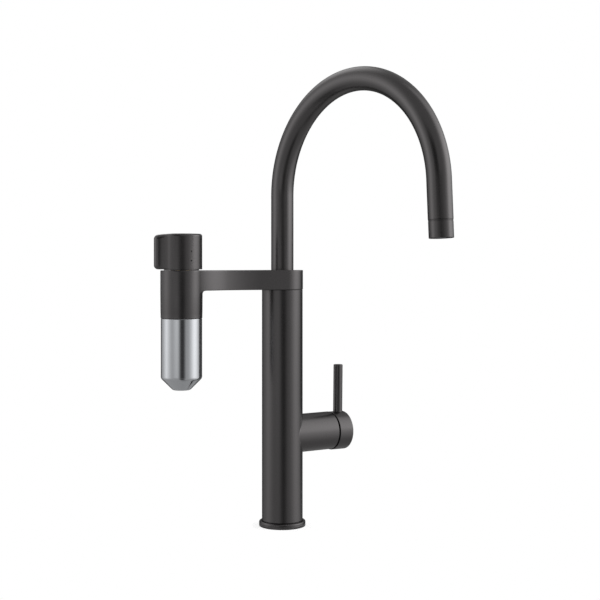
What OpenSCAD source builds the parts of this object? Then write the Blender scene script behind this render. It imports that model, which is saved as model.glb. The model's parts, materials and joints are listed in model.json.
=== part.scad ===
// Single-lever kitchen mixer tap with a filter arm: an upright column, a swivelling arch spout,
// a side lever, and an arm that carries a filter housing with its own valve knob.
// Millimetres. The origin is on the worktop at the column's axis, +Z is up, +X points at the lever,
// -X at the filter and -Y at the person who stands at the sink.

/* [Column] */
// Outside diameter of the upright column
column_d = 40.6; // [38:0.2:46]
// Wall of the column and of its side branch
column_wall = 2; // [1.5:0.1:2.4]
// Height of the column's top edge above the worktop
column_top = 235.2; // [225:1:280]

/* [Base] */
// Outside diameter of the base ring, which has to cover a 35 mm tap hole
base_d = 46.2; // [45:0.2:56]
// Height of the base ring
base_h = 5; // [4.5:0.1:8]
// Core diameter of the M8 hole for the fixing stud
stud_hole_d = 6.8; // [5:0.1:7]
// Core diameter of the two M10x1 holes for the supply hoses
hose_hole_d = 9; // [8.6:0.1:9.2]
// Distance between the two supply holes
hose_spacing = 21; // [19:0.5:23]

/* [Spout] */
// Outside diameter of the spout tube
spout_d = 22; // [20:0.2:22.6]
// Wall of the spout tube
spout_wall = 1.5; // [1:0.1:2]
// Straight rise of the spout above the arm before the arch begins
spout_rise = 73.9; // [20:1:120]
// Radius of the arch, at the tube's centre line
arch_r = 104.5; // [80:0.5:120]
// Angle that the arch sweeps through
arch_sweep = 177; // [160:1:180]
// Straight length after the arch, up to the outlet sleeve
outlet_straight = 35; // [10:1:60]
// Length of the outlet sleeve that holds the aerator
sleeve_l = 16; // [14:0.5:24]
// Angle of the spout at rest, from straight ahead towards the lever
spout_turn = 7.4; // [-30:0.1:30]
// Swing of the spout to each side of straight ahead
spout_swing = 75; // [40:1:80]

/* [Filter arm] */
// Distance from the column's axis to the filter's axis
arm_l = 113.7; // [100:0.1:140]
// Height of the arm
arm_h = 19.3; // [18:0.1:22]
// Width of the arm at its waist
arm_waist = 19; // [17:0.5:26]
// Diameter of the eye that sits on the column
eye_d = 41.2; // [40.6:0.2:47]
// Diameter of the filter holder
holder_d = 39.5; // [39.2:0.1:44]
// Height of the filter holder, from its rim to the top of the arm
holder_h = 46; // [44:0.5:60]
// Fillet between the arm's underside and the holder
arm_fillet = 3; // [1:0.5:5]

/* [Filter cup] */
// Outside diameter of the steel cup
cup_d = 38.6; // [38.4:0.1:39]
// Height of the steel cup
cup_h = 66; // [55:1:90]
// Wall of the steel cup
cup_wall = 1.2; // [0.8:0.1:1.3]
// Height of the 45 degree cone at the cup's foot
cup_cone = 11.9; // [6:0.1:14]
// Radius that rounds both ends of the cone
cup_round = 4; // [1:0.5:6]

/* [Filter knob] */
// Diameter of the knob's round body
knob_d = 39; // [32:0.5:42]
// Height of the knob
knob_h = 33.5; // [28:0.5:45]
// Gap between the holder's top and the knob
knob_gap = 1; // [0.6:0.1:2]
// Radius of the knob's top edge
knob_round = 2.6; // [0.6:0.1:4]
// Set-back of the knob's foot from the knob's side
foot_inset = 2.9; // [1.5:0.1:4]
// Reach of the thumb lobe from the knob's axis
lobe_reach = 27.8; // [25:0.1:32]
// Radius of the lobe's tip
lobe_tip_r = 6; // [4:0.5:7]
// Radius of the hollow flanks between the lobe and the round body
lobe_flank_r = 8; // [5:0.5:14]
// Radius that rounds the lobe above and below
lobe_round = 4; // [1:0.5:6]
// Fall of the lobe's top towards its tip
lobe_fall = 1.5; // [0.5:0.1:3]
// Direction of the lobe at rest, anticlockwise from the lever's side
lobe_angle = 128; // [90:1:180]

/* [Lever] */
// Outside diameter of the branch and of the lever cap
branch_d = 38.2; // [37.6:0.2:39.6]
// Height of the branch's axis above the worktop
branch_z = 90.3; // [70:0.1:130]
// Distance from the column's axis to the branch's end
branch_l = 57; // [56:0.5:66]
// Gap between the branch and the lever cap
cap_gap = 1; // [0.9:0.1:1.5]
// Length of the lever cap
cap_l = 16.3; // [14:0.1:22]
// Wall of the lever cap around its hollow
cap_wall = 1.1; // [0.9:0.1:1.2]
// Diameter of the lever pin
pin_d = 8.7; // [6:0.1:10]
// Height of the pin's top above the branch's axis
pin_rise = 67.2; // [45:0.1:110]
// Distance from the cap's inner edge to the pin's axis
pin_inset = 10.2; // [9:0.1:11]
// Distance from the cap's inner edge back to the tilting pivot
pivot_back = 18.5; // [18:0.1:19]
// Opening tilt of the lever
lever_tilt = 20; // [10:1:20]
// Diameter of the mixing cartridge
cartridge_d = 25; // [24.4:0.2:25.2]

/* [Hidden] */
$fn = 96;

// Colours, as photographed or as such parts are made
black_finish = [0.22, 0.215, 0.21];
steel = [0.72, 0.73, 0.74];
brass = [0.78, 0.62, 0.33];
copper = [0.72, 0.45, 0.3];
rubber_black = [0.09, 0.09, 0.09];
ceramic_white = [0.93, 0.93, 0.9];
plastic_white = [0.88, 0.89, 0.89];
plastic_grey = [0.55, 0.56, 0.58];
carbon_black = [0.13, 0.13, 0.13];

// Clearances: parts of one body, a turning fit, loose faces of different bodies
snug = 0.1;
running = 0.08;
loose = 0.3;
past = 1;
edge = 0.4;
arc_steps = 6;
flank_bite = 0.05;
plate_bite = 0.3;

// Radii
column_r = column_d / 2;
column_bore = column_r - column_wall;
branch_r = branch_d / 2;
branch_bore = branch_r - column_wall;
base_r = base_d / 2;
spout_r = spout_d / 2;
spout_bore = spout_r - spout_wall;
eye_r = eye_d / 2;
holder_r = holder_d / 2;
cup_r = cup_d / 2;
knob_r = knob_d / 2;
pin_r = pin_d / 2;
cartridge_r = cartridge_d / 2;

// Column and base levels
column_foot = base_h + 0.5;
insert_h = 19;
stud_hole_l = 14;
hose_hole_l = 12;
pipe_r = 4;
pipe_wall = 0.8;
riser_r = 5;
riser_wall = 0.8;
raw_riser_r = 3;
raw_riser_wall = 0.6;
raw_riser_at = [-11, 4.2];

// Arm and spout levels
arm_z = column_top;
arm_top = arm_z + arm_h;
arch_z = arm_top + spout_rise;
lip_t = 2.5;
eye_bore = 15.2;
socket_neck_r = eye_bore - 0.2;
collar_r = spout_r + 2;
socket_bore = collar_r + running;
socket_top = arm_top - lip_t - 0.2;
collar_bottom = column_top - 21;
collar_top = socket_top - 1.7;
tube_bottom = collar_bottom + 8;
socket_bottom = collar_bottom - 18;
chamber_bottom = socket_bottom + 4;
raw_port_top = socket_bottom + 8;
chamber_r = 8.2;
washer_t = 0.9;
hose_r = 3.2;
hose_bore = 2;
stop_screw_r = 1.5;
stop_screw_z = collar_bottom + 16;
stop_slot_depth = 1;
spout_frame_angle = spout_turn - 90;

// Channels in the arm
channel_y = 4.2;
channel_z = arm_z + arm_h / 2;
channel_r = 2.5;
drop_r = 1.2;
drop_x = -16.3;
gasket_t = 1;

// Filter housing levels
holder_rim = arm_top - holder_h;
holder_bore = holder_r - 1.75;
holder_plate = 4;
head_top = arm_top - holder_plate - snug;
head_bottom = holder_rim + 16.5;
head_r = holder_bore - snug;
valve_r = 10;
valve_bottom = head_top - 12;
valve_neck_r = 7.5;
valve_chamber_r = 8.5;
spindle_r = 4.5;
knob_z = arm_top + knob_gap;
knob_top = knob_z + knob_h;
spindle_top = knob_z + 20;
neck_top = knob_z + 6.5;
foot_r = knob_r - foot_inset;
foot_gap = 0.2;
valve_recess_r = valve_r + 1.2;
screw_r = 2;
screw_hole_r = screw_r + snug / 2;
knob_screw_l = 8;
pit_r = 0.5;
pit_depth = 0.4;
disc_t = 2.4;
spigot_r = 7.8;
spigot_top = head_bottom + 10;
cup_rim = holder_rim - loose;
cup_foot = cup_rim - cup_h;
ring_r = holder_bore - loose;
ring_bore = ring_r - 1;
ring_top = cup_rim + 13.5;
capsule_r = ring_bore - 0.5;
capsule_bottom = cup_foot + cup_cone + 1;
capsule_top = head_bottom - 1;

// Lever and cartridge stations along the branch's axis
cap_x = branch_l + cap_gap;
cap_end = cap_x + cap_l;
pin_x = cap_x + pin_inset;
pivot_x = cap_x - pivot_back;
cap_rim_l = 2;
cap_hollow_l = 6;
cap_hollow_r = branch_r - cap_wall;
cap_hollow_end_r = cap_hollow_r - 5;
dome_r = pivot_back + cap_hollow_l - 0.6;
dome_wall = 1.2;
dome_plate = 1.4;
dome_steps = 12;
dome_rim_r = branch_bore - loose;
core_r = branch_bore - 0.2;
core_end = pivot_x + 6.5;
barrel_r = column_bore - 2.3;
core_foot = branch_z - 18.5;
core_top = branch_z + 21.5;
riser_foot = branch_z + 14;
pipe_top = branch_z - 6.5;
socket_x = pivot_x - 27.5;
body_x = socket_x + 0.8;
body_floor = 3.2;
body_end = pivot_x - 1.5;
body_bore = cartridge_r - 2.9;
turret_r = body_bore - loose;
turret_x = pivot_x - 15.1;
turret_end = pivot_x + 7;
stem_r = 2.8;
stem_ball_r = 1.9;
stem_reach = 16.9;
disc_slide = stem_reach * lever_tilt * PI / 180;
port_r = 2.2;
port_offset = 5.2;
stem_slot = stem_r + loose;
grub_r = 2.5;
grub_l = 8;
hex_depth = 3;
hex_r = 1.1;

// One rounded corner of an outline, as points along its arc
function unit(v) = v / norm(v);
function corner_arc(a, b, c, r) =
    let (
        u = unit(a - b),
        v = unit(c - b),
        half = acos(u * v) / 2,
        centre = b + unit(u + v) * r / sin(half),
        p = b + u * r / tan(half) - centre,
        q = b + v * r / tan(half) - centre,
        start = atan2(p.y, p.x),
        turn = (atan2(q.y, q.x) - start + 540) % 360 - 180
    )
    [for (i = [0:arc_steps]) centre + r * [cos(start + turn * i / arc_steps), sin(start + turn * i / arc_steps)]];

// Outline from corners given as [radius, height, rounding]
function rounded(corners) =
    let (n = len(corners), p = [for (c = corners) [c[0], c[1]]])
    [for (i = [0:n - 1])
        each (corners[i][2] > 0
            ? corner_arc(p[(i + n - 1) % n], p[i], p[(i + 1) % n], corners[i][2])
            : [p[i]])];

module turned(corners) {
    rotate_extrude() polygon(rounded(corners));
}

module tube(r, bore, bottom, top) {
    translate([0, 0, bottom])
        linear_extrude(top - bottom)
            difference() {
                circle(r);
                circle(bore);
            }
}

module rod(r, bottom, top) {
    translate([0, 0, bottom])
        cylinder(r = r, h = top - bottom);
}

// Frames: along the branch, on the filter's axis, on the spout and at the outlet
module along_branch() {
    translate([0, 0, branch_z]) rotate([0, 90, 0]) children();
}

module at_filter() {
    translate([-arm_l, 0, 0]) children();
}

module in_spout_frame() {
    rotate([0, 0, spout_frame_angle]) children();
}

module at_arch_end() {
    translate([arch_r * (1 - cos(arch_sweep)), 0, arch_z + arch_r * sin(arch_sweep)])
        rotate([0, arch_sweep - 180, 0])
            children();
}

// Radius of the flank arcs that join two circles and leave the given half width at the waist
function flank_for_waist(l, r1, r2, w) =
    let (
        a = (r1 - r2) / l,
        b = (l * l + r1 * r1 - r2 * r2) / (2 * l),
        q = 2 * (a * b + w - r1),
        c = b * b + w * w - r1 * r1
    )
    2 * c / (-q + sqrt(q * q - 4 * a * a * c));

// Two circles joined by hollow flanks: the first at the origin, the second at [l, 0]; the flanks
// bite a hair into the circles, so that every outline crosses cleanly
module waisted_link(l, r1, r2, flank) {
    lap = 0.3;
    a = r1 + flank - flank_bite;
    b = r2 + flank - flank_bite;
    cx = (a * a - b * b + l * l) / (2 * l);
    cy = sqrt(a * a - cx * cx);
    x1 = r1 * cx / a - lap;
    x2 = l + r2 * (cx - l) / b + lap;
    reach = max(r1 * cy / a, r2 * cy / b) + 1;
    circle(r1);
    translate([l, 0]) circle(r2);
    difference() {
        translate([x1, -reach]) square([x2 - x1, 2 * reach]);
        for (side = [-1, 1])
            translate([cx, side * cy]) circle(flank, $fn = 400);
    }
}

// Base

module base_ring() {
    color(black_finish)
    difference() {
        turned([
            [column_bore, 0, 0],
            [base_r, 0, 0.5],
            [base_r, base_h * 0.44, 0],
            [base_r - 0.35, base_h * 0.5, 0],
            [base_r, base_h * 0.56, 0],
            [base_r, base_h, 1.7],
            [column_r - 0.7, base_h, 0],
            [column_r - 0.7, column_foot, 0],
            [column_bore, column_foot, 0]
        ]);
        tube(base_r - 1.5, column_bore + 0.9, -past, 1.2);
    }
}

module base_seal() {
    color(rubber_black)
    tube(base_r - 1.5 - snug, column_bore + 0.9 + snug, 0, 1.15);
}

module base_insert() {
    color(brass)
    difference() {
        rod(column_bore - snug, 0, insert_h);
        rod(stud_hole_d / 2, -past, stud_hole_l);
        for (side = [-1, 1])
            translate([0, side * hose_spacing / 2, 0]) {
                rod(hose_hole_d / 2, -past, hose_hole_l);
                rod(pipe_r + snug / 2, 0, insert_h + past);
            }
    }
}

// Column

module column_shell() {
    color(black_finish)
    difference() {
        union() {
            turned([
                [0, column_foot, 0],
                [column_r - edge, column_foot, 0],
                [column_r, column_foot + edge, 0],
                [column_r, column_top - edge, 0],
                [column_r - edge, column_top, 0],
                [0, column_top, 0]
            ]);
            along_branch()
                turned([
                    [0, 0, 0],
                    [branch_r, 0, 0],
                    [branch_r, branch_l - 0.5, 0],
                    [branch_r - 0.5, branch_l, 0],
                    [0, branch_l, 0]
                ]);
        }
        rod(column_bore, 0, column_top + past);
        along_branch() rod(branch_bore, 0, branch_l + past);
    }
}

// Water ways in the column

module inlet_pipe(side) {
    color(copper)
    translate([0, side * hose_spacing / 2, 0])
        tube(pipe_r, pipe_r - pipe_wall, hose_hole_l + snug, pipe_top);
}

module mixed_water_riser() {
    color(copper)
    tube(riser_r, riser_r - riser_wall, riser_foot, chamber_bottom - snug);
}

module raw_water_riser() {
    color(copper)
    translate([raw_riser_at.x, raw_riser_at.y, 0])
        tube(raw_riser_r, raw_riser_r - raw_riser_wall, riser_foot, raw_port_top);
}

module mixer_core() {
    color(brass)
    difference() {
        union() {
            rod(barrel_r, core_foot, core_top);
            along_branch() rod(core_r, 0, core_end);
        }
        along_branch() rod(cartridge_r + snug, socket_x, core_end + past);
        for (side = [-1, 1])
            translate([0, side * hose_spacing / 2, 0])
                rod(pipe_r + snug / 2, core_foot - past, branch_z);
        for (at = port_places())
            along_branch() translate(at) rod(port_r, 0, socket_x + past);
        rod(riser_r + snug / 2, riser_foot - snug, core_top + past);
        rod(riser_r - 1.5, branch_z + port_offset, riser_foot);
        translate([raw_riser_at.x, raw_riser_at.y, 0])
            rod(raw_riser_r + snug / 2, riser_foot - snug, core_top + past);
    }
}

// Places of the hot, cold and mixed ports across the cartridge's foot, in the branch's frame
function port_places() = [[0, port_offset, 0], [0, -port_offset, 0], [-port_offset, 0, 0]];

// Mixing cartridge

module cartridge_seals() {
    color(rubber_black)
    along_branch()
        for (at = port_places())
            translate(at) tube(port_r + 0.8, port_r, socket_x + 0.05, body_x - 0.05);
}

module cartridge_body() {
    color(plastic_white)
    along_branch()
        difference() {
            rod(cartridge_r, body_x, body_end);
            rod(body_bore, body_x + body_floor, body_end + past);
            for (at = port_places())
                translate(at) rod(port_r, body_x - past, body_end);
        }
}

module fixed_ceramic_disc() {
    color(ceramic_white)
    along_branch()
        difference() {
            rod(body_bore - snug, disc_x(), disc_x() + 2.8);
            for (at = port_places())
                translate(at) rod(port_r, body_x, body_end);
        }
}

// Station of the fixed disc's foot, on the cartridge's floor
function disc_x() = body_x + body_floor;

module mixing_disc() {
    color(ceramic_white)
    along_branch()
        difference() {
            translate([disc_slide / 2, 0, 0])
                rod(body_bore - loose - disc_slide / 2, disc_x() + 2.9, turret_x - 0.9);
            rod(stem_ball_r + loose, pivot_x - stem_reach - 2.1, turret_x);
        }
}

module cartridge_nut() {
    color(brass)
    along_branch()
        difference() {
            tube(cartridge_r, body_bore + snug, body_end, core_end - 2);
            for (turn = [0:90:270])
                rotate([0, 0, turn])
                    translate([body_bore + 1.2, -1.5, core_end - 4])
                        cube([5, 3, 5]);
        }
}

module cartridge_turret() {
    color(plastic_grey)
    along_branch()
        difference() {
            rod(turret_r, turret_x, turret_end);
            translate([-8, -stem_slot, turret_x - past])
                cube([15, 2 * stem_slot, turret_end - turret_x + 2 * past]);
            translate([0, 0, pivot_x])
                rotate([90, 0, 0])
                    cylinder(r = 1.52, h = 3 * turret_r, center = true);
        }
}

module lever_pivot_pin() {
    color(steel)
    along_branch()
        translate([0, 0, pivot_x])
            rotate([90, 0, 0])
                cylinder(r = 1.5, h = 2 * turret_r - 1, center = true);
}

module cartridge_stem() {
    color(steel)
    along_branch()
        difference() {
            union() {
                translate([0, 0, pivot_x - stem_reach]) sphere(stem_ball_r);
                rod(1.3, pivot_x - stem_reach, turret_x + 2);
                rod(stem_r, turret_x + 1.6, pin_x - pin_r * 0.3 - 1);
            }
            translate([0, 0, pivot_x])
                rotate([90, 0, 0])
                    cylinder(r = 1.56, h = 3 * stem_r, center = true);
        }
}

module dome_cover() {
    inner_r = dome_r - dome_wall;
    outer_open = asin(dome_rim_r / dome_r);
    inner_open = asin((dome_rim_r - dome_wall) / inner_r);
    color(black_finish)
    along_branch()
        difference() {
            rotate_extrude()
                polygon([
                    [0, turret_end],
                    [dome_rim_r, turret_end],
                    for (i = [dome_steps:-1:0]) dome_point(dome_r, outer_open * i / dome_steps),
                    for (i = [0:dome_steps]) dome_point(inner_r, inner_open * i / dome_steps),
                    [dome_rim_r - dome_wall, turret_end + dome_plate],
                    [0, turret_end + dome_plate]
                ]);
            translate([-stem_slot, -stem_slot, turret_end - past])
                cube([15.5, 2 * stem_slot, 2 * dome_r]);
        }
}

// A point of the dome's outline, at an angle from the branch's axis about the tilting pivot
function dome_point(r, angle) = [r * sin(angle), pivot_x + r * cos(angle)];

// Lever

module lever_cap() {
    color(black_finish)
    difference() {
        along_branch()
            difference() {
                turned([
                    [0, cap_x, 0],
                    [branch_r - 0.3, cap_x, 0],
                    [branch_r, cap_x + 0.3, 0],
                    [branch_r, cap_end, 0.8],
                    [0, cap_end, 0]
                ]);
                turned([
                    [0, cap_x - past, 0],
                    [cap_hollow_r, cap_x - past, 0],
                    [cap_hollow_r, cap_x + cap_rim_l, 0],
                    [cap_hollow_end_r, cap_x + cap_hollow_l, 0],
                    [0, cap_x + cap_hollow_l, 0]
                ]);
                rod(stem_r + snug / 2, cap_x, pin_x - pin_r * 0.3);
            }
        translate([pin_x, 0, 0]) rod(pin_r + snug / 2, branch_z + 9, branch_z + branch_r + past);
        translate([grub_x(), 0, 0]) rod(grub_r + snug / 2, branch_z - branch_r - past, branch_z);
    }
}

// Station of the grub screw that clamps the stem
function grub_x() = cap_x + cap_hollow_l + 3;

module lever_pin() {
    color(black_finish)
    translate([pin_x, 0, branch_z])
        turned([
            [0, 9, 0],
            [pin_r, 9, 0],
            [pin_r, pin_rise, 0.5],
            [0, pin_rise, 0]
        ]);
}

module lever_grub_screw() {
    color(steel)
    translate([grub_x(), 0, branch_z])
        difference() {
            rod(grub_r, -stem_r - grub_l, -stem_r - snug);
            translate([0, 0, -stem_r - grub_l - past]) cylinder(r = 1.4, h = hex_depth + past, $fn = 6);
        }
}

// Spout swivel

module swivel_socket() {
    color(brass)
    difference() {
        union() {
            rod(column_bore - 0.2, socket_bottom, column_top - snug);
            rod(socket_neck_r, column_top - 1, socket_top);
        }
        rod(socket_bore, collar_bottom - washer_t, socket_top + past);
        rod(chamber_r, chamber_bottom, collar_bottom);
        rod(riser_r + snug / 2, socket_bottom - past, chamber_bottom + past);
        translate([raw_riser_at.x, raw_riser_at.y, 0])
            rod(raw_riser_r + snug / 2, socket_bottom - past, raw_port_top);
        tube(socket_bore + 0.6, socket_bore - 1, collar_top + 0.3, collar_top + 1.5);
        for (side = [-1, 1])
            translate([drop_x, side * channel_y, 0])
                rod(drop_r, cross_z(side), column_top);
        for (side = [-1, 1])
            translate([-column_bore, side * channel_y, cross_z(side)])
                rotate([0, 90, 0])
                    cylinder(r = drop_r, h = side > 0 ? column_bore + raw_riser_at.x : column_bore - 5);
        translate([0, 0, stop_screw_z])
            rotate([-90, 0, 0])
                cylinder(r = stop_screw_r + snug / 2, h = column_bore + past);
    }
}

// Level of the cross drilling: the untreated side meets its riser, the filtered side the nozzle
function cross_z(side) = side > 0 ? socket_bottom + 6 : chamber_bottom + 2.5;

module filtered_water_nozzle() {
    color(brass)
    difference() {
        union() {
            rod(chamber_r - snug, chamber_bottom + 1, chamber_bottom + 4);
            rod(hose_bore - snug, chamber_bottom + 3.5, collar_bottom - 1);
        }
        rod(0.9, chamber_bottom + 2.5, collar_bottom);
        for (turn = [90:60:360])
            rotate([0, 0, turn + 30])
                translate([5.2, 0, 0]) rod(1.3, chamber_bottom, chamber_bottom + 5);
    }
}

module swivel_washer() {
    color(plastic_white)
    tube(socket_bore - snug, chamber_r + 0.6, collar_bottom - washer_t, collar_bottom - 0.1);
}

module swivel_stop_screw() {
    color(steel)
    translate([0, 0, stop_screw_z])
        rotate([-90, 0, 0])
            rod(stop_screw_r, collar_r - stop_slot_depth + 0.2, column_bore - 0.4);
}

module swivel_clip() {
    color(steel)
    translate([0, 0, collar_top + 0.4])
        rotate([0, 0, 105])
            rotate_extrude(angle = 330)
                translate([spout_r + 0.5, 0]) square([socket_bore - spout_r, 1]);
}

module collar_ring_grooves() {
    for (z = ring_levels())
        tube(collar_r + past, collar_r - 1, z, z + 2);
}

// Levels of the sealing rings above and below the stop slot
function ring_levels() = [collar_bottom + 9.5, stop_screw_z + 4, collar_top - 4];

module spout_collar() {
    color(brass)
    in_spout_frame()
        difference() {
            union() {
                tube(collar_r, spout_bore, collar_bottom, tube_bottom);
                tube(collar_r, spout_r + 0.05, tube_bottom - snug, collar_top);
                tube(hose_r + 1.6, hose_r + 0.05, collar_bottom, tube_bottom - 1);
                for (turn = [60:120:300])
                    rotate([0, 0, turn])
                        translate([hose_r + 1, -0.8, collar_bottom])
                            cube([spout_bore - hose_r, 1.6, tube_bottom - 1 - collar_bottom]);
            }
            collar_ring_grooves();
            translate([0, 0, stop_screw_z - stop_screw_r - loose])
                rotate([0, 0, 180 - stop_half_angle()])
                    rotate_extrude(angle = 2 * stop_half_angle())
                        translate([collar_r - stop_slot_depth, 0])
                            square([2, 2 * (stop_screw_r + loose)]);
        }
}

// Half the angle of the collar's slot: the swing to one side plus the screw's own half width
function stop_half_angle() = spout_swing + asin((stop_screw_r + snug) / (collar_r - stop_slot_depth));

module spout_o_rings() {
    color(rubber_black)
    for (z = ring_levels())
        tube(collar_r, collar_r - 0.95, z + 0.1, z + 1.9);
}

// A hollow section carried from the given level up, round the arch and on to the given length;
// a bead inside the wall ties the arch to the straight length that follows it
module carried_section(r, bore, bottom, after_arch) {
    inset = (r - bore) / 4;
    tube(r, bore, bottom, arch_z);
    translate([arch_r, 0, arch_z])
        rotate([90, 0, 180])
            rotate_extrude(angle = arch_sweep)
                translate([arch_r, 0])
                    difference() {
                        circle(r);
                        circle(bore);
                    }
    at_arch_end() {
        tube(r, bore, -after_arch, 0);
        tube(r - inset, bore + inset, -0.2, 0.2);
    }
}

module spout_tube() {
    color(black_finish)
    in_spout_frame()
        difference() {
            carried_section(spout_r, spout_bore, tube_bottom, outlet_straight);
            at_arch_end()
                tube(spout_r + past, spout_r - 0.25, -outlet_straight - past, -outlet_straight + 0.4);
        }
}

module filtered_water_hose() {
    color(plastic_white)
    in_spout_frame()
        carried_section(hose_r, hose_bore, chamber_bottom + 4.5, outlet_straight + 3.8);
}

// Outlet

module aerator_sleeve() {
    color(black_finish)
    in_spout_frame()
        at_arch_end()
            translate([0, 0, -outlet_straight - sleeve_l])
                difference() {
                    turned([
                        [0, 0, 0],
                        [spout_r, 0, 0.5],
                        [spout_r, sleeve_l - 1.3, 0],
                        [spout_r - 0.25, sleeve_l - 1.1, 0],
                        [spout_r - 0.25, sleeve_l - 0.8, 0],
                        [spout_r, sleeve_l - 0.6, 0],
                        [spout_r - 0.1, sleeve_l - 0.05, 0],
                        [0, sleeve_l - 0.05, 0]
                    ]);
                    rod(spout_bore, -past, sleeve_l + past);
                    rod(spout_r - 0.9, -past, 1.2);
                }
}

module aerator_seal() {
    color(rubber_black)
    in_spout_frame()
        at_arch_end()
            tube(spout_bore - snug, spout_bore - 2, -outlet_straight - 5.4, -outlet_straight - 4);
}

module aerator_insert() {
    color(plastic_grey)
    in_spout_frame()
        at_arch_end()
            translate([0, 0, -outlet_straight - sleeve_l])
                difference() {
                    union() {
                        rod(spout_bore - snug, 0.8, sleeve_l - 5.5);
                        rod(hose_r + 0.6, sleeve_l - 5.6, sleeve_l - 4);
                    }
                    for (ring = [1:2], turn = [0:60 / ring:359])
                        rotate([0, 0, turn])
                            translate([ring * 3.1, 0, 0]) rod(0.75, 0, sleeve_l - 7);
                    rod(0.75, 0, sleeve_l);
                    tube(spout_bore - 3.2, hose_r + 0.7, sleeve_l - 7.5, sleeve_l);
                }
}

// Filter arm

plate_end_r = holder_r - plate_bite;
arm_flank = flank_for_waist(arm_l, eye_r - flank_bite, plate_end_r - flank_bite, arm_waist / 2);

// The arm's plan: its far end lies just inside the holder, which is turned in one from rim to top
module arm_plan(inset = 0) {
    rotate(180) waisted_link(arm_l, eye_r - inset, plate_end_r - inset, arm_flank + inset);
}

module arm_body() {
    translate([0, 0, arm_z]) linear_extrude(arm_h) arm_plan();
    at_filter()
        turned([
            [0, holder_rim, 0],
            [holder_r - 0.25 - edge, holder_rim, 0],
            [holder_r - 0.25, holder_rim + edge, 0],
            [holder_r, arm_z, 0],
            [holder_r, arm_top, 0],
            [0, arm_top, 0]
        ]);
    intersection() {
        at_filter()
            rotate_extrude()
                difference() {
                    translate([holder_r - 1, arm_z - arm_fillet]) square([arm_fillet + 1, arm_fillet + 1]);
                    translate([holder_r + arm_fillet, arm_z - arm_fillet]) circle(arm_fillet);
                }
        translate([0, 0, arm_z - arm_fillet]) linear_extrude(arm_fillet + 1) arm_plan(0.3);
    }
}

module filter_arm() {
    color(black_finish)
    difference() {
        arm_body();
        rod(eye_bore, arm_z - past, arm_top - lip_t);
        rod(spout_r + 0.35, arm_z, arm_top + past);
        tube(gasket_r() + snug, eye_bore - 1, arm_z - past, arm_z + gasket_t);
        at_filter() {
            rod(holder_bore, holder_rim - past, arm_top - holder_plate);
            rod(valve_r + snug, arm_z, arm_top + past);
        }
        for (side = [-1, 1]) {
            translate([-arm_l + holder_bore - 2, side * channel_y, channel_z])
                rotate([0, 90, 0])
                    cylinder(r = channel_r, h = arm_l - holder_bore + drop_x + 2);
            translate([drop_x, side * channel_y, 0]) rod(drop_r, arm_z, channel_z);
        }
        translate([0, eye_bore - past, channel_z])
            rotate([-90, 0, 0])
                cylinder(r = screw_hole_r, h = eye_r);
    }
}

// Outside radius of the gasket between the column's top and the arm
function gasket_r() = column_bore - 0.3;

module arm_gasket() {
    color(rubber_black)
    difference() {
        tube(gasket_r(), eye_bore + snug, arm_z, arm_z + gasket_t);
        for (side = [-1, 1])
            translate([drop_x, side * channel_y, 0]) rod(drop_r, arm_z - past, arm_z + 2 * gasket_t);
    }
}

module arm_lock_screw() {
    color(steel)
    translate([0, 0, channel_z])
        rotate([-90, 0, 0])
            difference() {
                rod(screw_r, socket_neck_r + snug, eye_r - 0.6);
                translate([0, 0, eye_r - 2.5]) cylinder(r = hex_r, h = hex_depth + past, $fn = 6);
            }
}

module arm_tube(side) {
    translate([-arm_l + head_r - 3, side * channel_y, channel_z])
        rotate([0, 90, 0])
            tube(channel_r - snug, channel_r - 0.8, 0, arm_l - head_r + 3 + drop_x - drop_r - 0.3);
}

// Filter head and its valve

module filter_head() {
    color(plastic_grey)
    difference() {
        at_filter()
            difference() {
                union() {
                    rod(head_r, head_bottom, head_top);
                    tube(head_r, ring_bore + 0.5, ring_top + 2, head_bottom + past);
                }
                rod(valve_r + snug, valve_bottom - snug, head_top + past);
                rod(spigot_r + loose, head_bottom - past, spigot_top + 0.5);
                rod(1.8, spigot_top, valve_bottom);
            }
        for (side = [-1, 1])
            translate([-arm_l + head_r - 3.2, side * channel_y, channel_z])
                rotate([0, 90, 0])
                    cylinder(r = channel_r, h = 10);
    }
}

module filter_valve_body() {
    color(brass)
    at_filter()
        difference() {
            union() {
                rod(valve_r, valve_bottom, arm_top + 0.3);
                rod(valve_neck_r, arm_top, neck_top);
            }
            rod(valve_chamber_r, valve_bottom - past, valve_bottom + 8);
            rod(spindle_r + running, valve_bottom, neck_top + past);
        }
}

module valve_fixed_disc() {
    color(ceramic_white)
    at_filter()
        difference() {
            rod(valve_chamber_r - snug, valve_bottom, valve_bottom + disc_t);
            for (side = [-1, 1])
                translate([side * 4, 0, 0]) rod(1.8, valve_bottom - past, valve_bottom + 5);
        }
}

module valve_moving_disc() {
    color(ceramic_white)
    at_filter()
        difference() {
            rod(valve_chamber_r - loose, valve_bottom + disc_t + 0.05, valve_bottom + 2 * disc_t);
            for (side = [-1, 1])
                translate([0, side * 4, 0]) rod(1.8, valve_bottom, valve_bottom + 8);
        }
}

module valve_spindle() {
    color(brass)
    at_filter()
        union() {
            rod(valve_chamber_r - 1.2, valve_bottom + 2 * disc_t, valve_bottom + 7.7);
            rod(spindle_r, valve_bottom + 7, spindle_top);
        }
}

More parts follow.
